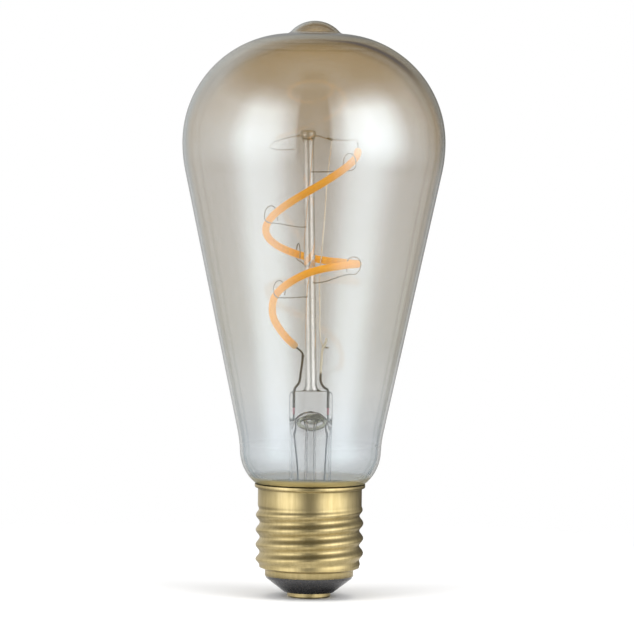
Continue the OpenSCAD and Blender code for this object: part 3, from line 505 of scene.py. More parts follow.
inner_left = wire("inner_lead_left", [
    [-lead_x, 0, dumet_top], [-lead_x, 0, press_top], [-lead_x, 0, press_top + 0.3],
    [-lead_x + 0.3, 0.3, press_top + 0.9], [-lead_x + 0.9, 1, press_top + 1.6],
    [-lead_x + 1.5, 2.6, (press_top + 0.7 + lead_end_left[2]) / 2],
    lead_end_left - np.array([0.1, 0.2, 1.2]), lead_end_left], 0.6,
    [(lead_end_left, 1.35, 0.5)])
finished(inner_left, nickel, "lead_wire", "inner_lead_left")
inner_right = wire("inner_lead_right", [
    [lead_x, 0, dumet_top], [lead_x, 0, press_top], [lead_x, 0, press_top + 0.3],
    [lead_x - 0.8, 0, press_top + 0.8], [lead_x - 1.6, 0, press_top + 2],
    [lead_x - 1.75, 0, press_top + 4.5], [lead_x - 1.6, 0, press_top + 7],
    weld_right, [weld_right[0] + 0.5, 0, weld_right[2] + 0.9], [weld_right[0] + 0.7, 0, weld_right[2] + 2.1]], 0.6,
    [(weld_right, 1.25, 0.4)])
part_bright_nickel = drawn_metal("part_bright_nickel", (0.17, 0.14, 0.12), (0.06, 0.05, 0.04), 0.3, (0.0547, 0.065))
finished(inner_right, part_bright_nickel, "lead_wire", "inner_lead_right")

for side, x, mid_x, pad in (("left", -lead_x, 1 - lead_x, (-3, 0.4)), ("right", lead_x, lead_x - 0.5, (3.4, 0.6))):
    seal = wire("seal_wire_" + side, [[x, 0, dumet_foot], [x, 0, dumet_foot + 0.5], [x, 0, dumet_top - 0.5],
                                      [x, 0, dumet_top]], 0.5, sides=12)
    finished(seal, seal_copper, "seal_wire", "dumet_seal_" + side)
    outer = wire("outer_lead_" + side, [
        [x, 0, dumet_foot], [x, 0, cavity_top], [x, 0, press_top - 10.1], [(x + mid_x) / 2, 0, press_top - 14.6],
        [mid_x, 0, 30.6], [mid_x, 0, 21.6], [pad[0], pad[1], 16], [pad[0], pad[1], 13], [pad[0], pad[1], 11]],
        0.4)
    finished(outer, outer_nickel, "outer_wire", "outer_lead_" + side)


# Return wire: nickel wire welded across the right lead, in a very pale cream that is partly its own colour and
# partly a painted highlight. It runs up beside the rod and carries the current to the filament's top end.

return_y = 0.52
return_span = return_top[2] - weld_right[2]
return_points = [[weld_right[0] + 1.3, return_y, weld_right[2] - 0.3], [weld_right[0], return_y, weld_right[2]]]
for out, y, climb in ((-0.6, return_y, 0.024), (-0.85, return_y, 0.057), (-1, 0.5, 0.192), (-1.15, 0.5, 0.303),
                      (-0.7, 0.5, 0.45), (0.15, 0.5, 0.709), (0.3, 0.5, 0.772)):
    return_points.append([weld_right[0] + out, y, weld_right[2] + climb * return_span])
return_points += [[return_top[0] - 0.3, return_top[1], return_top[2] - 3], return_top]
return_wire = wire("return_wire", return_points, 0.4, [(return_top, 1.5, 0.4), (return_points[1], 1.3, 0.35)])
# Its very pale cream is partly a painted highlight.
pale_metal = drawn_metal("pale_return_metal", (0.97, 0.92, 0.82), (0.86, 0.8, 0.69), 0.04)
finished(return_wire, pale_metal, "return_wire", "return_wire")


# Support wires: thin molybdenum melted into the rod at one end and bent round the filament in a loop at the
# other. Two more sit in the button, where their ends are dark: one carries the filament's top end and has the
# return wire welded to it, and one is a spare hook.

molybdenum = drawn_metal("dull_molybdenum", (0.58, 0.55, 0.51), (0.26, 0.24, 0.22), 0.42)
supports = [("upper_right", 38, -1.9, 1.5), ("upper_left", 152, -2.3, 1.35), ("back", 252, -2.5, 1.5),
            ("lower_right", 385, -4.7, 2.4), ("lower_left", 501, -1.7, 1.8)]
loop_half_width, loop_height, rod_radius = 3.6 / 2, 4.2, 1.35
for name, a, rise, drop in supports:
    middle = coil_at(a)
    root = rod_axis(middle[2] + rise)
    out = np.array([middle[0] - root[0], middle[1] - root[1], 0.0])
    out = out / np.linalg.norm(out)
    w, top = loop_half_width, loop_height - drop
    loop = [[-w * 0.6, -drop], [w * 0.4, 0.15 - drop], [w * 0.9, -drop / 2], [w, top * 0.4], [w * 0.6, top * 0.85],
            [-w * 0.1, top], [-w * 0.75, top * 0.7], [-w, top * 0.2], [-w * 0.95, 0.6 - drop]]
    points = [root + d * around(a) for d in (rod_radius - 0.8, rod_radius, rod_radius + 0.3)]
    points += [middle + p * out + np.array([0, 0, q]) for p, q in loop]
    finished(wire("support_" + name, points, 0.27, sides=8), molybdenum, "support_wire", "support_" + name)


def beside(spot, *steps):
    """Points at some steps away from a spot."""
    return [spot + np.array(step) for step in steps]


button = rod_axis(button_wire_z)
right_root = button + np.array([1.1, 0, 0])
button_wire_d = 0.3
weld_middle = np.array([return_top[0], 0, button_wire_z - 0.9])
support_points = [right_root, *beside(button, [1.9, 0, 0], [2.7, 0, -0.1]),
                  [0.23 * top_weld[0], 0, button_wire_z - 0.5], weld_middle,
                  [0.61 * top_weld[0], 0, button_wire_z - 1], [0.85 * top_weld[0], 0.1, button_wire_z - 1],
                  *beside(top_weld, [-0.35, 0, 0.6], [0, 0, 0.15])]
top_support = wire("top_support", support_points, button_wire_d, [(top_weld, 1.8, 0.35), (right_root, 2.4, 0.7)],
                   sides=8)
# The top support and the hook get a paler copy of the molybdenum, which is a painted highlight.
molybdenum_highlight_copy = drawn_metal("painted_highlight_molybdenum", (0.86, 0.83, 0.78), (0.66, 0.63, 0.58), 0.1)
finished(top_support, molybdenum_highlight_copy, "support_wire", "top_support")
hook_points = beside(button, [-1.1, 0, 0], [-1.9, 0, 0], [-2.7, 0, -0.1], [-6.4, 0, -1], [-9, 0, -2.2],
                     [-9.3, 0.3, -2.9], [-8, 0.4, -3.4], [-5.6, 0.4, -3.5], [-3.4, 0.4, -3.3])
top_hook = wire("top_hook", hook_points, button_wire_d, [(hook_points[0], 2.4, 0.7)], sides=8)
finished(top_hook, molybdenum_highlight_copy, "support_wire", "top_hook")
return_weld = wire("return_weld", beside(weld_middle, [-1.1, 0, 0.32], [-0.4, 0, 0.1], [0.3, 0, -0.1]), 0.5,
                   [(weld_middle, 1.3, 0.5)], sides=12)
finished(return_weld, nickel, "support_wire")
button_roots = wire("button_roots", beside(button, [-1.0, -0.2, -0.5], [0, -0.3, -0.75], [1.0, -0.2, -0.5]), 0.55,
                    sides=12)
finished(button_roots, nickel, "support_wire")


# Filament: chips on a flexible strip, all under one round coat of silicone that is full of orange phosphor.
# The coat is poured round the strip. It narrows a little at both ends, is duller over the lower terminal, and
# shows the chips as faint shadows on the side that faces the rod.

coat_radius, coat_rows, coat_sides = 0.9, 300, 20
row_step, end_reach, end_narrowing = 0.34, 0.6, 0.28
coat_rings = []
for i in range(coat_rows + 1):
    a = coil_end * i / coat_rows
    t = coil_heading(a)
    n = around(a) - np.dot(around(a), t) * t
    n = n / np.linalg.norm(n)
    b = np.cross(t, n)
    from_end = min(i, coat_rows - i) * row_step
    r = coat_radius * (1 - end_narrowing * max(0.0, 1 - from_end / end_reach) ** 2)
    round_strip = [2 * math.pi * k / coat_sides for k in range(coat_sides)]
    coat_rings.append([coil_at(a) + r * (math.cos(turn) * n + math.sin(turn) * b) for turn in round_strip])
coat = drawn("filament_coat", coat_rings)
coat_points = np.empty(len(coat.data.vertices) * 3)
coat.data.vertices.foreach_get("co", coat_points)
coat_points = coat_points.reshape(-1, 3) / MM

# Each point of the coat keeps how far along the strip it lies, and how far round it faces the rod.
coil_samples = np.array([coil_at(coil_end * i / 1200) for i in range(1201)])
coil_lengths = np.concatenate([[0], np.cumsum(np.linalg.norm(np.diff(coil_samples, axis=0), axis=1))])
along = coat.data.attributes.new("along", "FLOAT", "POINT")
inward = coat.data.attributes.new("inward", "FLOAT", "POINT")
for i, spot in enumerate(coat_points):
    nearest = int(np.argmin(((coil_samples - spot) ** 2).sum(axis=1)))
    centre = coil_samples[nearest]
    along.data[i].value = coil_lengths[nearest]
    outwards = np.array([centre[0], centre[1], 0.0]) / max(np.linalg.norm(centre[:2]), 1e-6)
    inward.data[i].value = float(-np.dot(spot - centre, outwards) / coat_radius)
coil_length = float(coil_lengths[-1])

phosphor, start, place = new_finish("orange_phosphor_silicone")
strip_run = start.node("Attribute", {"attribute_name": "along"}, None, "Fac")
inner_side = start.node("Attribute", {"attribute_name": "inward"}, None, "Fac")
cloud = place.noise(420.0, 3.0)
grains = place.noise(4200.0, 2.0, 0.7)
chip_pitch = 1.62
beat = strip_run.maths("FRACT", strip_run / chip_pitch)
chip_shadow = (1 - (beat - 0.5).absolute().fade(0.1, 0.3)) * inner_side.fade(0.2, 0.75)
lower_end = (strip_run - coil_length + 3.2).fade(0.0, 2.8)
orange = (cloud * 0.5 + grains * 0.5).fade(0.35, 0.65).between((0.95, 0.38, 0.02), (0.98, 0.44, 0.04))
orange = (chip_shadow * 0.22).between(orange, (0.5, 0.24, 0.07))
orange = (lower_end * 0.75).between(orange, (0.56, 0.38, 0.2))
# The coat also glows faintly in its own orange. This is a painted glow that makes it brighter than the lamps light
# it.
start.node("BsdfPrincipled", None, {
    "Base Color": orange, "Roughness": 0.42 + grains * 0.12, "Subsurface Weight": 0.25,
    "Subsurface Radius": (0.0012, 0.0006, 0.0002), "Subsurface Scale": 0.5, "IOR": 1.41,
    "Emission Color": orange, "Emission Strength": 0.52,
    "Normal": (cloud * 0.7 + grains * 0.3).bump(0.12, 0.00008)}).lay()
finished(coat, phosphor, "phosphor_silicone", "filament_coating")

carrier_finish, start, place = new_finish("flexible_carrier")
weave = place.noise(2600.0, 3.0)
start.node("BsdfPrincipled", None, {
    "Base Color": weave.between((0.8, 0.74, 0.6), (0.68, 0.6, 0.46)), "Roughness": 0.5 + weave * 0.2,
    "Normal": weave.bump(0.1, 0.00002)}).lay()
chip_finish, start, place = new_finish("led_chip_face")
facet = place.noise(5200.0, 2.0)
start.node("BsdfPrincipled", None, {
    "Base Color": facet.between((0.26, 0.29, 0.4), (0.16, 0.18, 0.26)), "Roughness": 0.15 + facet * 0.1,
    "Coat Weight": 0.6, "Normal": facet.bump(0.05, 0.00001)}).lay()
coated(cad["filament_carrier"], carrier_finish)
coated(cad["led_chips"], chip_finish)


# Terminal pins: short nickel strips that leave the coat at both ends. The upper one is welded to the top
# support, and the lower one, whose oxide is darker, to the left lead.

pin_metal = drawn_metal("pin_nickel", (0.62, 0.58, 0.52), (0.36, 0.33, 0.29), 0.35)
pin_d = 0.5
start_at, start_way = coil_at(0), coil_heading(0)
pin_top = wire("filament_pin_top", [start_at + 0.6 * start_way, start_at - 0.02 * start_way,
                                    start_at - 0.4 * start_way, start_at + np.array([-0.03, 0.7, 0.9]), top_weld],
               pin_d, [(top_weld, 1.3, 0.3)])
finished(pin_top, pin_metal, "terminal_pin", "filament_pin_top")
end_at, end_way = coil_at(coil_end), coil_heading(coil_end)
pin_bottom = wire("filament_pin_bottom", [
    end_at - 0.6 * end_way, end_at + 0.02 * end_way, end_at + 0.5 * end_way,
    lead_end_left + np.array([-0.4, 0.3, 0.8]), lead_end_left + np.array([0, 0, 0.15])], pin_d,
    [(lead_end_left, 1.3, 0.3)])
finished(pin_bottom, nickel, "terminal_pin", "filament_pin_bottom")


# Envelope: pear-shaped bulb of blown soda glass, sealed off at its tip, with its neck cemented in the cap.
# A thin metal-oxide film gives it a smoky gold tint, which is strong round the crown and grows thin, hazy and
# blue-grey towards the neck.


def arc(centre, r, first, last):
    """Points of [radius, height] every 2 degrees on an arc."""
    count = max(1, math.ceil(abs(last - first) / 2))
    return [[centre[0] + r * math.cos(math.radians(first + (last - first) * k / count)),
             centre[1] + r * math.sin(math.radians(first + (last - first) * k / count))] for k in range(count + 1)]


def bearing(start_point, end_point):
    return math.degrees(math.atan2(end_point[1] - start_point[1], end_point[0] - start_point[0]))


def meeting(c0, r0, c1, r1):
    """Outer point that lies r0 from c0 and r1 from c1."""
    c0, c1 = np.array(c0, float), np.array(c1, float)
    gap = np.linalg.norm(c1 - c0)
    e = (c1 - c0) / gap
    run_along = (r0 * r0 - r1 * r1 + gap * gap) / (2 * gap)
    return c0 + run_along * e + math.sqrt(r0 * r0 - run_along * run_along) * np.array([-e[1], e[0]])


# Centres and radii of the arcs that make the outline, from the tip down to the neck. The bowl stands on the
# cap's lip, and a hollow waist and a straight taper lead up from it to the belly.
tip_at, dome_at, belly_at = [0, 132.4], [5.5, 110.8], [-2, 110.8]
tip_r, tip_fillet_r, dome_r, belly_r, waist_r, bowl_r, heel_r = 8, 2, 26.5, 34, 30, 10.4, 1.5
fillet_at = meeting(tip_at, tip_r + tip_fillet_r, dome_at, dome_r + tip_fillet_r)
bowl_x, bowl_reach, lip_top = 6.8, 6.35, 27.6
bowl_at = [bowl_x, lip_top + math.sqrt(bowl_r ** 2 - bowl_reach ** 2)]
taper_gap = 9.8
taper = math.degrees(math.acos((taper_gap - belly_r) / math.dist(belly_at, bowl_at))) - bearing(bowl_at, belly_at)
taper_c, taper_s = math.cos(math.radians(taper)), math.sin(math.radians(taper))
across_waist, along_waist = waist_r + taper_gap, math.sqrt((waist_r + bowl_r) ** 2 - (waist_r + taper_gap) ** 2)
waist_turn = math.degrees(math.acos(across_waist / (waist_r + bowl_r)))
waist_at = [bowl_at[0] + across_waist * taper_c + along_waist * taper_s,
            bowl_at[1] - across_waist * taper_s + along_waist * taper_c]
neck_r, neck_top, neck_foot = 11.4, 21, 15.5
heel_x = neck_r + heel_r
heel_at = [heel_x, bowl_at[1] - math.sqrt((bowl_r + heel_r) ** 2 - (heel_x - bowl_at[0]) ** 2)]


def glass_outline(depth):
    """Outline from tip to neck at a depth below the outer face."""
    return (arc(tip_at, tip_r - depth, 90, bearing(tip_at, fillet_at))
            + arc(fillet_at, tip_fillet_r + depth, bearing(fillet_at, tip_at) + 360,
                  bearing(fillet_at, dome_at) + 360)
            + arc(dome_at, dome_r - depth, bearing(dome_at, fillet_at), 0)
            + arc(belly_at, belly_r - depth, -1, -taper)
            + arc(waist_at, waist_r + depth, 180 - taper, 180 - taper + waist_turn)
            + arc(bowl_at, bowl_r - depth, waist_turn - taper - 1, bearing(bowl_at, heel_at))
            + arc(heel_at, heel_r + depth, bearing(heel_at, bowl_at) + 4, 180)
            + [[neck_r - depth, neck_top], [neck_r - depth, neck_foot]])


glass_wall = 0.7
outer_line, inner_line = glass_outline(0), glass_outline(glass_wall)
for line in (outer_line, inner_line):
    # The long straight taper gets points of its own, evenly spaced.
    k = [i for i in range(len(line) - 1) if line[i][1] - line[i + 1][1] > 20][0]
    (r0, z0), (r1, z1) = line[k], line[k + 1]
    line[k + 1:k + 1] = [[r0 + (r1 - r0) * s / 8, z0 + (z1 - z0) * s / 8] for s in range(1, 8)]
outer_line[0][0] = inner_line[0][0] = 0.0
envelope = spun("glass_envelope", outer_line + inner_line[::-1], 160)

# The film's share of the surface and its colour follow the height, from the cap's lip to the tip.
tinted, start, place = new_finish("smoky_gold_glass")
height, sideways, from_axis = place.axis("Z"), place.axis("X"), place.from_upright()
drift = place.noise(26.0, 2.0)
film_foot, film_height = 0.028, 0.1124
up_glass = (height - film_foot) / film_height + (drift - 0.5) * 0.03
film = up_glass.ramp((0.0, 0.37), (0.06, 0.32), (0.2, 0.3), (0.3, 0.37), (0.45, 0.39), (0.66, 0.43), (0.75, 0.57),
                     (0.84, 0.62), (0.92, 0.65), (1.0, 0.67))
film_colour = up_glass.ramp((0.0, (0.14, 0.2, 0.2)), (0.1, (0.14, 0.18, 0.19)), (0.2, (0.21, 0.18, 0.08)),
                            (0.35, (0.26, 0.18, 0.015)), (0.66, (0.31, 0.18, 0.008)), (0.8, (0.33, 0.182, 0.01)),
                            (1.0, (0.25, 0.147, 0.02)))

# Towards its edge the glass gets painted shade in darker lines, which lie a little further in on the tip.
facing = start.node("LayerWeight", None, {"Blend": 0.5}, "Facing") + height.fade(0.1345, 0.1365) * 0.13
painted_edge_shade = facing.ramp((0.0, 0.0), (0.4, 0.015), (0.49, 0.03), (0.52, 0.085), (0.555, 0.045), (0.6, 0.06),
                         (0.64, 0.15), (0.685, 0.08), (0.76, 0.07), (0.84, 0.12), (0.93, 0.3), (1.0, 0.5))

# A dark run lies on the right shoulder, and two faint rings round the tip. The paler brow round the tip is a painted
# highlight.
dark_run = facing.near(0.67, 0.075) * height.fade(0.122, 0.131) * sideways.fade(-0.004, 0.01) * (
    1 - sideways.fade(0.02, 0.03) * 0.8)
tip_rings = (from_axis.near(0.0155, 0.0006) + from_axis.near(0.0188, 0.0005)) * height.fade(0.124, 0.128)
tip_brow_highlight = from_axis.near(0.0078, 0.0014) * height.fade(0.13, 0.134)

# At the lip a gold heel is painted on the glass as a painted reflection of the brass, with painted dark shade in the
# seam over it.
above = height.fade(0.0288, 0.03)
painted_brass_reflection = (1 - above) * height.fade(0.0235, 0.0262)
painted_seam_shade = height.near(0.0277, 0.0004) * (1 - start.node("NewGeometry", None, None, "Backfacing"))

# Towards the edge the tint is painted as well: a duller tone round the crown, a paler band that is a painted
# reflection, and painted dark shade at the rim.
tint = (facing.fade(0.42, 0.6) * height.fade(0.112, 0.128)).between(film_colour, (0.205, 0.142, 0.06))
tint = facing.fade(0.66, 0.8).between(tint, (0.21, 0.178, 0.12))
tint = (facing.fade(0.84, 1.0) * 0.8).between(tint, (0.08, 0.07, 0.06))
# The paler brow round the tip is a painted highlight.
tint = (tip_brow_highlight * 0.7).between(tint, (0.36, 0.31, 0.3))
tint = (dark_run * 0.85).between(tint, (0.05, 0.04, 0.045))
# Painted reflection of the brass over the lip, and painted shade in the seam.
tint = painted_brass_reflection.between(tint, (0.62, 0.5, 0.22))
tint = painted_seam_shade.between(tint, (0.03, 0.025, 0.015))
haze = 0.08 + drift * 0.03 + (1 - height.fade(0.032, 0.044)) * 0.3
film_gloss = start.node("BsdfPrincipled", None, {
    "Base Color": tint, "Metallic": painted_brass_reflection, "Roughness": haze, "IOR": 4.2, "Specular Tint": (0.8, 0.92, 1.0, 1.0)})
film_share = (film + painted_edge_shade + dark_run * 0.38 + tip_rings * 0.16).at_most(0.95)
# The painted brass reflection and the seam shade also set how much of the glass they cover there.
share = film_share * above + painted_brass_reflection * 0.66 + painted_seam_shade * 0.29 + (1 - above - painted_brass_reflection) * 0.05
start.node("MixShader", None, {0: share, 1: start.node("BsdfTransparent"), 2: film_gloss}).lay()

bare, start, place = new_finish("inner_glass_face")
ripple = place.noise(30.0, 2.0)
bare_gloss = start.node("BsdfPrincipled", None, {
    "Base Color": ripple.between((0.3, 0.28, 0.25), (0.26, 0.24, 0.22)), "Roughness": 0.06, "IOR": 1.5})
bare_share = (0.035 + start.node("LayerWeight", None, {"Blend": 0.5}, "Facing") ** 6.0 * 0.4).at_most(0.9)
start.node("MixShader", None, {0: bare_share, 1: start.node("BsdfTransparent"), 2: bare_gloss}).lay()

finished(envelope, tinted, "tinted_glass", "bulb_envelope")
envelope.data.materials.append(bare)
shoulder_z = 0.095
for face in envelope.data.polygons:
    outwards = Vector((face.center.x, face.center.y, max(face.center.z - shoulder_z, 0.0)))
    face.material_index = 0 if face.normal.dot(outwards) > 0 else 1


# Cap shell: thin deep-drawn brass, its thread rolled in, its rim turned out into a lip under the glass.
# The brass keeps the faint upright marks of drawing and has a warm satin shine.

lip_z, cap_h, shell_wall = 26.6, 27.6, 0.25
collar_r, crest_r, root_r, foot_r, lip_r = 12.7, 13.15, 12.2, 10.8, 13.5
thread_z0, thread_z1, pitch, foot_z = 7.2, 22.6, 3.629, 5.2
shell_columns, thread_rows, run_in_height = 160, 84, 2


def thread_radius(z, a):
    """Outer radius of the threaded stretch at a height and an angle round it."""
    turn = (z - thread_z0) / pitch - a / 360
    run_in = min(steady((z - thread_z0) / run_in_height), steady((thread_z1 - z) / run_in_height))
    plain = collar_r if z > (thread_z0 + thread_z1) / 2 else root_r
    wave = math.cos(2 * math.pi * turn)
    return plain + ((crest_r + root_r) / 2 + (crest_r - root_r) / 2 * wave - plain) * run_in


def shell_ring(z, radius=None, inset=0.0):
    """One ring of the shell. Without a radius it follows the thread, inset from its outer face."""
    ring = []
    for k in range(shell_columns):
        a = 360 * k / shell_columns
        r = thread_radius(z, a) - inset if radius is None else radius
        ring.append([r * math.cos(math.radians(a)), r * math.sin(math.radians(a)), z])
    return ring


thread_heights = [thread_z0 + (thread_z1 - thread_z0) * i / thread_rows for i in range(thread_rows + 1)]
shell_rings = [shell_ring(z, r) for r, z in (
    (foot_r, foot_z), (foot_r, foot_z + 1.2), (foot_r + 0.1, foot_z + 1.45), (foot_r + 0.7, 6.95),
    (root_r - 0.25, 7.1))]
shell_rings += [shell_ring(z) for z in thread_heights]
shell_rings += [shell_ring(z, r) for r, z in (
    (collar_r, 23.2), (collar_r, 24.4), (collar_r, lip_z - 0.35), (collar_r + 0.03, lip_z - 0.22),
    (collar_r + 0.12, lip_z - 0.08), (collar_r + 0.36, lip_z + 0.04), (lip_r - 0.22, lip_z + 0.11),
    (lip_r - 0.07, lip_z + 0.2), (lip_r, lip_z + 0.36), (lip_r, cap_h - 0.1), (lip_r - 0.03, cap_h - 0.03),
    (lip_r - 0.125, cap_h), (lip_r - 0.22, cap_h - 0.03), (lip_r - shell_wall, cap_h - 0.1),
    (lip_r - shell_wall, lip_z + 0.5), (lip_r - 0.4, lip_z + 0.32), (collar_r - 0.1, lip_z + 0.12),
    (collar_r - shell_wall, lip_z - 0.2), (collar_r - shell_wall, 23.2))]
shell_rings += [shell_ring(z, inset=shell_wall) for z in thread_heights[::-2]]
shell_rings += [shell_ring(z, r) for r, z in (
    (root_r - 0.5, 7.1), (foot_r - 0.15, foot_z + 1.55), (foot_r - shell_wall, foot_z + 1.2),
    (foot_r - shell_wall, foot_z))]
shell = drawn("brass_shell", shell_rings + [shell_rings[0]], ends=False)
closed()

brass, start, place = new_finish("drawn_brass")
stretched = start.node("Mapping", None, {"Vector": place, "Scale": (1.0, 1.0, 0.08)})
marks = stretched.noise(1500.0, 3.0, 0.6)
stain = place.noise(120.0, 3.0)
# The brass is toned darker than bright brass, partly for its dull plating and partly as painted shade.
brass_colour = (marks * 0.4 + stain * 0.6).fade(0.3, 0.7).between((0.51, 0.415, 0.215), (0.36, 0.285, 0.13))
start.node("BsdfPrincipled", None, {
    "Base Color": brass_colour, "Metallic": 1.0, "Roughness": 0.27 + marks * 0.1 + stain * 0.08,
    "Normal": marks.bump(0.12, 0.00003)}).lay()
finished(shell, brass, "cap_brass", "cap_shell")


# Insulator, contact and solder: black glass is poured hot into the shell's foot round the contact's eyelet.
# The live wire comes through the eyelet, which solder fills, and the neutral wire is soldered to the collar.

black_glass, start, place = new_finish("poured_black_glass")
pores = place.noise(1400.0, 4.0, 0.6)
start.node("BsdfPrincipled", None, {
    "Base Color": pores.between((0.012, 0.012, 0.014), (0.035, 0.033, 0.034)), "Roughness": 0.16 + pores * 0.2,
    "Coat Weight": 0.3, "Normal": pores.bump(0.2, 0.00005)}).lay()
solder, start, place = new_finish("grey_solder")
crystals = place.noise(2400.0, 3.0, 0.6)
start.node("BsdfPrincipled", None, {
    "Base Color": crystals.between((0.7, 0.7, 0.71), (0.46, 0.46, 0.48)), "Metallic": 1.0,
    "Roughness": 0.28 + crystals * 0.25, "Normal": crystals.bump(0.25, 0.00004)}).lay()
for node, finish in (("cap_insulator", black_glass), ("contact_plate", brass), ("contact_solder", solder),
                     ("side_solder", solder)):
    coated(cad[node], finish)


# Basing cement: a ring of resin and marble flour round the glass neck. It is baked in the shell, where it sets
# hard, grainy and yellowish, and holds the glass in the cap.

cement, start, place = new_finish("baked_cement")
grit = place.noise(1900.0, 5.0, 0.7)
mottle = place.noise(260.0, 2.0)
start.node("BsdfPrincipled", None, {
    "Base Color": (grit * 0.6 + mottle * 0.4).between((0.66, 0.52, 0.22), (0.5, 0.38, 0.13)),
    "Roughness": 0.8 + grit * 0.15, "Normal": grit.bump(0.5, 0.0001)}).lay()
coated(cad["basing_cement"], cement)


# Driver: a small round board in the cap. It carries a rectifier, a driver chip and chip resistors on top, and
# a capacitor, a surge varistor and a fuse resistor underneath. Two wires join it to contact and shell.


def moulded(name, light, dark, roughness, scale, bump, metallic=0.0):
    """Moulded or dipped finish with its fine grain."""
    material, start, place = new_finish(name)
    grain = place.noise(scale, 4.0, 0.6)
    start.node("BsdfPrincipled", None, {
        "Base Color": grain.fade(0.3, 0.7).between(light, dark), "Roughness": roughness + grain * 0.15,
        "Metallic": metallic, "Normal": grain.bump(bump, 0.00003)}).lay()
    return material


driver_finishes = {
    "driver_board": moulded("green_board_lacquer", (0.05, 0.3, 0.12), (0.03, 0.2, 0.08), 0.35, 700.0, 0.15),
    "bridge_rectifier": moulded("black_chip_resin", (0.04, 0.04, 0.042), (0.02, 0.02, 0.022), 0.5, 3000.0, 0.3),
    "driver_ic": moulded("matt_chip_resin", (0.045, 0.045, 0.05), (0.022, 0.022, 0.025), 0.55, 3200.0, 0.3),
    "smoothing_capacitor": moulded("capacitor_sleeve", (0.05, 0.06, 0.14), (0.03, 0.035, 0.09), 0.3, 900.0, 0.05),
    "surge_varistor": moulded("blue_varistor_dip", (0.05, 0.16, 0.5), (0.03, 0.1, 0.36), 0.35, 800.0, 0.2),
    "fuse_resistor": moulded("grey_green_fuse_coat", (0.16, 0.28, 0.24), (0.1, 0.2, 0.17), 0.6, 1500.0, 0.3),
    "chip_resistors": moulded("resistor_glaze", (0.05, 0.05, 0.06), (0.025, 0.025, 0.03), 0.25, 2500.0, 0.1),
    "live_wire": moulded("red_wire_skin", (0.55, 0.06, 0.04), (0.4, 0.04, 0.03), 0.4, 1200.0, 0.1),
    "neutral_wire": moulded("tinned_wire", (0.7, 0.66, 0.58), (0.5, 0.46, 0.4), 0.3, 1800.0, 0.1, 1.0),
}
for node, finish in driver_finishes.items():
    coated(cad[node], finish)


# Stage: a plain pale floor under the contact that runs out into white, a white room, and soft lamps high at
# both sides and overhead. What mirrors the room sees two bright sides with a dark front and back, and clear
# glass sees it white ahead and behind, and dimmer at the sides.

bpy.ops.mesh.primitive_circle_add(vertices=96, radius=0.5, fill_type="NGON", location=(0, 0, -0.0001))
floor = bpy.context.object
floor.name = "floor"
pale, start, place = new_finish("pale_floor")
far = place.from_upright()
matt = start.node("BsdfPrincipled", None, {"Base Color": (0.9, 0.9, 0.9, 1.0), "Roughness": 0.8})
in_mirror = start.node("LightPath", None, None, "Is Glossy Ray")
from_below = start.node("NewGeometry", None, None, "Backfacing")
mirrored_ring = far.fade(0.006, 0.01) * (1 - far.fade(0.02, 0.06))
laid = (1 - far.fade(0.05, 0.2)) * (1 - in_mirror * (1 - mirrored_ring)) * (1 - from_below)
start.node("MixShader", None, {0: laid, 1: start.node("BsdfTransparent"), 2: matt}).lay()
coated(floor, pale)
floor.select_set(False)

world = bpy.data.worlds.new("white_room")
bpy.context.scene.world = world
world.use_nodes = True
world.node_tree.nodes.clear()
room = Finish(world.node_tree)
way = room.node("TexCoord", None, None, "Generated")
across, forwards, upwards = way.axis("X"), way.axis("Y"), way.axis("Z")
seen, refracted, mirrored = [room.node("LightPath", None, None, f"Is {kind} Ray")
                             for kind in ("Camera", "Transmission", "Glossy")]

# Round the room, 0 and 1 lie behind the bulb, 0.25 at its left, 0.5 in front and 0.75 at its right. The bright
# sides are narrower under the horizon, and they fade towards floor and ceiling.
round_room = room.maths("ARCTAN2", across, forwards * -1.0) / (2 * math.pi) + 0.5
wide = round_room.ramp(
    (0.0, 0.1), (0.06, 0.3), (0.208, 0.3), (0.278, 0.4), (0.336, 0.78), (0.392, 0.72), (0.417, 0.58), (0.442, 0.36),
    (0.455, 0.28), (0.461, 0.02), (0.539, 0.02), (0.545, 0.27), (0.567, 0.45), (0.589, 0.8), (0.64, 1.0),
    (0.697, 0.85), (0.761, 0.28), (0.846, 0.12), (0.92, 0.03), (0.97, 0.03), (1.0, 0.1))
narrow = round_room.ramp(
    (0.0, 0.08), (0.05, 0.2), (0.205, 0.12), (0.25, 0.18), (0.278, 0.32), (0.3, 0.55), (0.333, 0.85), (0.375, 0.85),
    (0.394, 0.78), (0.417, 0.52), (0.44, 0.22), (0.472, 0.0), (0.528, 0.0), (0.55, 0.1), (0.572, 0.38),
    (0.592, 0.68), (0.625, 0.88), (0.653, 0.85), (0.678, 0.68), (0.703, 0.42), (0.733, 0.17), (0.77, 0.05),
    (0.84, 0.02), (0.96, 0.02), (1.0, 0.08))
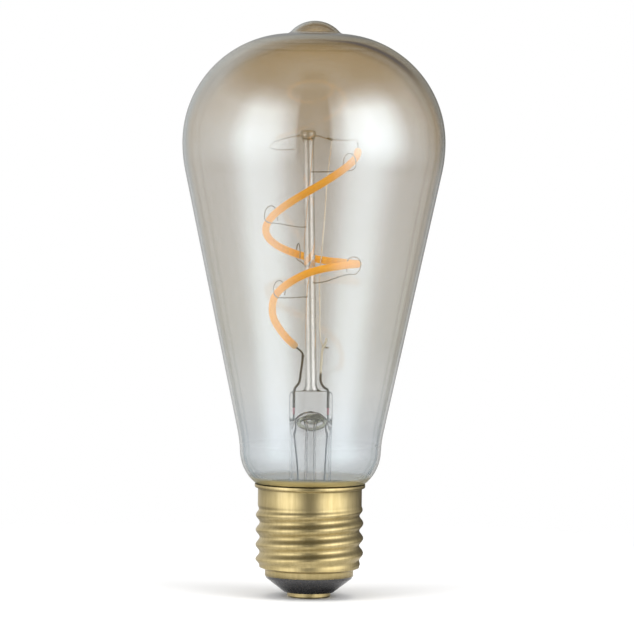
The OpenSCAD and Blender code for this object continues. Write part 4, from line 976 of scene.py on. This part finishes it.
heights = (upwards * 0.5 + 0.5).ramp(
    (0.0, 0.05), (0.115, 0.1), (0.21, 0.25), (0.28, 0.58), (0.413, 0.86), (0.483, 1.0), (0.587, 1.0), (0.757, 0.86),
    (0.854, 0.3), (0.905, 0.08), (0.953, 0.01), (1.0, 0.0))
sides = upwards.fade(-0.4, -0.05).between(narrow, wide)
gloss_level = 0.12 - forwards.fade(0.0, 0.6) * 0.1 + sides * heights * 3.45
clear_view = 0.25 + forwards.absolute().fade(0.6, 0.9) * 0.75
soft_level = (1 - mirrored) * (1 - refracted) * 0.45
room_level = seen.at_least(refracted * clear_view).at_least(
    mirrored * (1 - refracted * 0.45) * gloss_level).at_least(soft_level)
background = room.node("Background", None, {"Color": (1.0, 1.0, 1.0, 1.0), "Strength": room_level})
world_output = room.tree.nodes.new("ShaderNodeOutputWorld")
room.tree.links.new(background.socket, world_output.inputs["Surface"])


def lamp(name, spot, width, power):
    """A square soft lamp that points at the bulb's middle."""
    bpy.ops.object.light_add(type="AREA", location=spot)
    light = bpy.context.object
    light.name = name
    light.data.shape = "RECTANGLE"
    light.data.size = light.data.size_y = width
    light.data.energy = power
    light.rotation_euler = (Vector(bulb_middle) - Vector(spot)).to_track_quat("-Z", "Y").to_euler()
    light.visible_glossy = light.visible_transmission = False


bulb_middle = (0, 0, 0.07)
lamp("left_lamp", (-0.5, -0.35, 0.6), 0.5, 3.4)
lamp("right_lamp", (0.5, -0.35, 0.6), 0.5, 3.4)
lamp("top_lamp", (0, -0.1, 0.8), 0.6, 4.0)


# Camera: in front of the bulb and a little above its middle. It looks slightly down with a long lens, and
# leans a little, so that the bulb's axis stands as it should.

pitch_down, roll = math.radians(2.356), math.radians(0.67)
bpy.ops.object.camera_add(location=(0.00123, -0.9, 0.1054))
camera = bpy.context.object
camera.rotation_euler = (Matrix.Rotation(math.pi / 2 - pitch_down, 4, "X")
                         @ Matrix.Rotation(roll, 4, "Z")).to_euler()
camera.data.lens = 209.8
camera.data.sensor_width = 36.0
camera.data.clip_start = 0.01
bpy.context.scene.camera = camera
bpy.context.scene.view_settings.view_transform = "Standard"

bpy.ops.object.select_all(action="DESELECT")
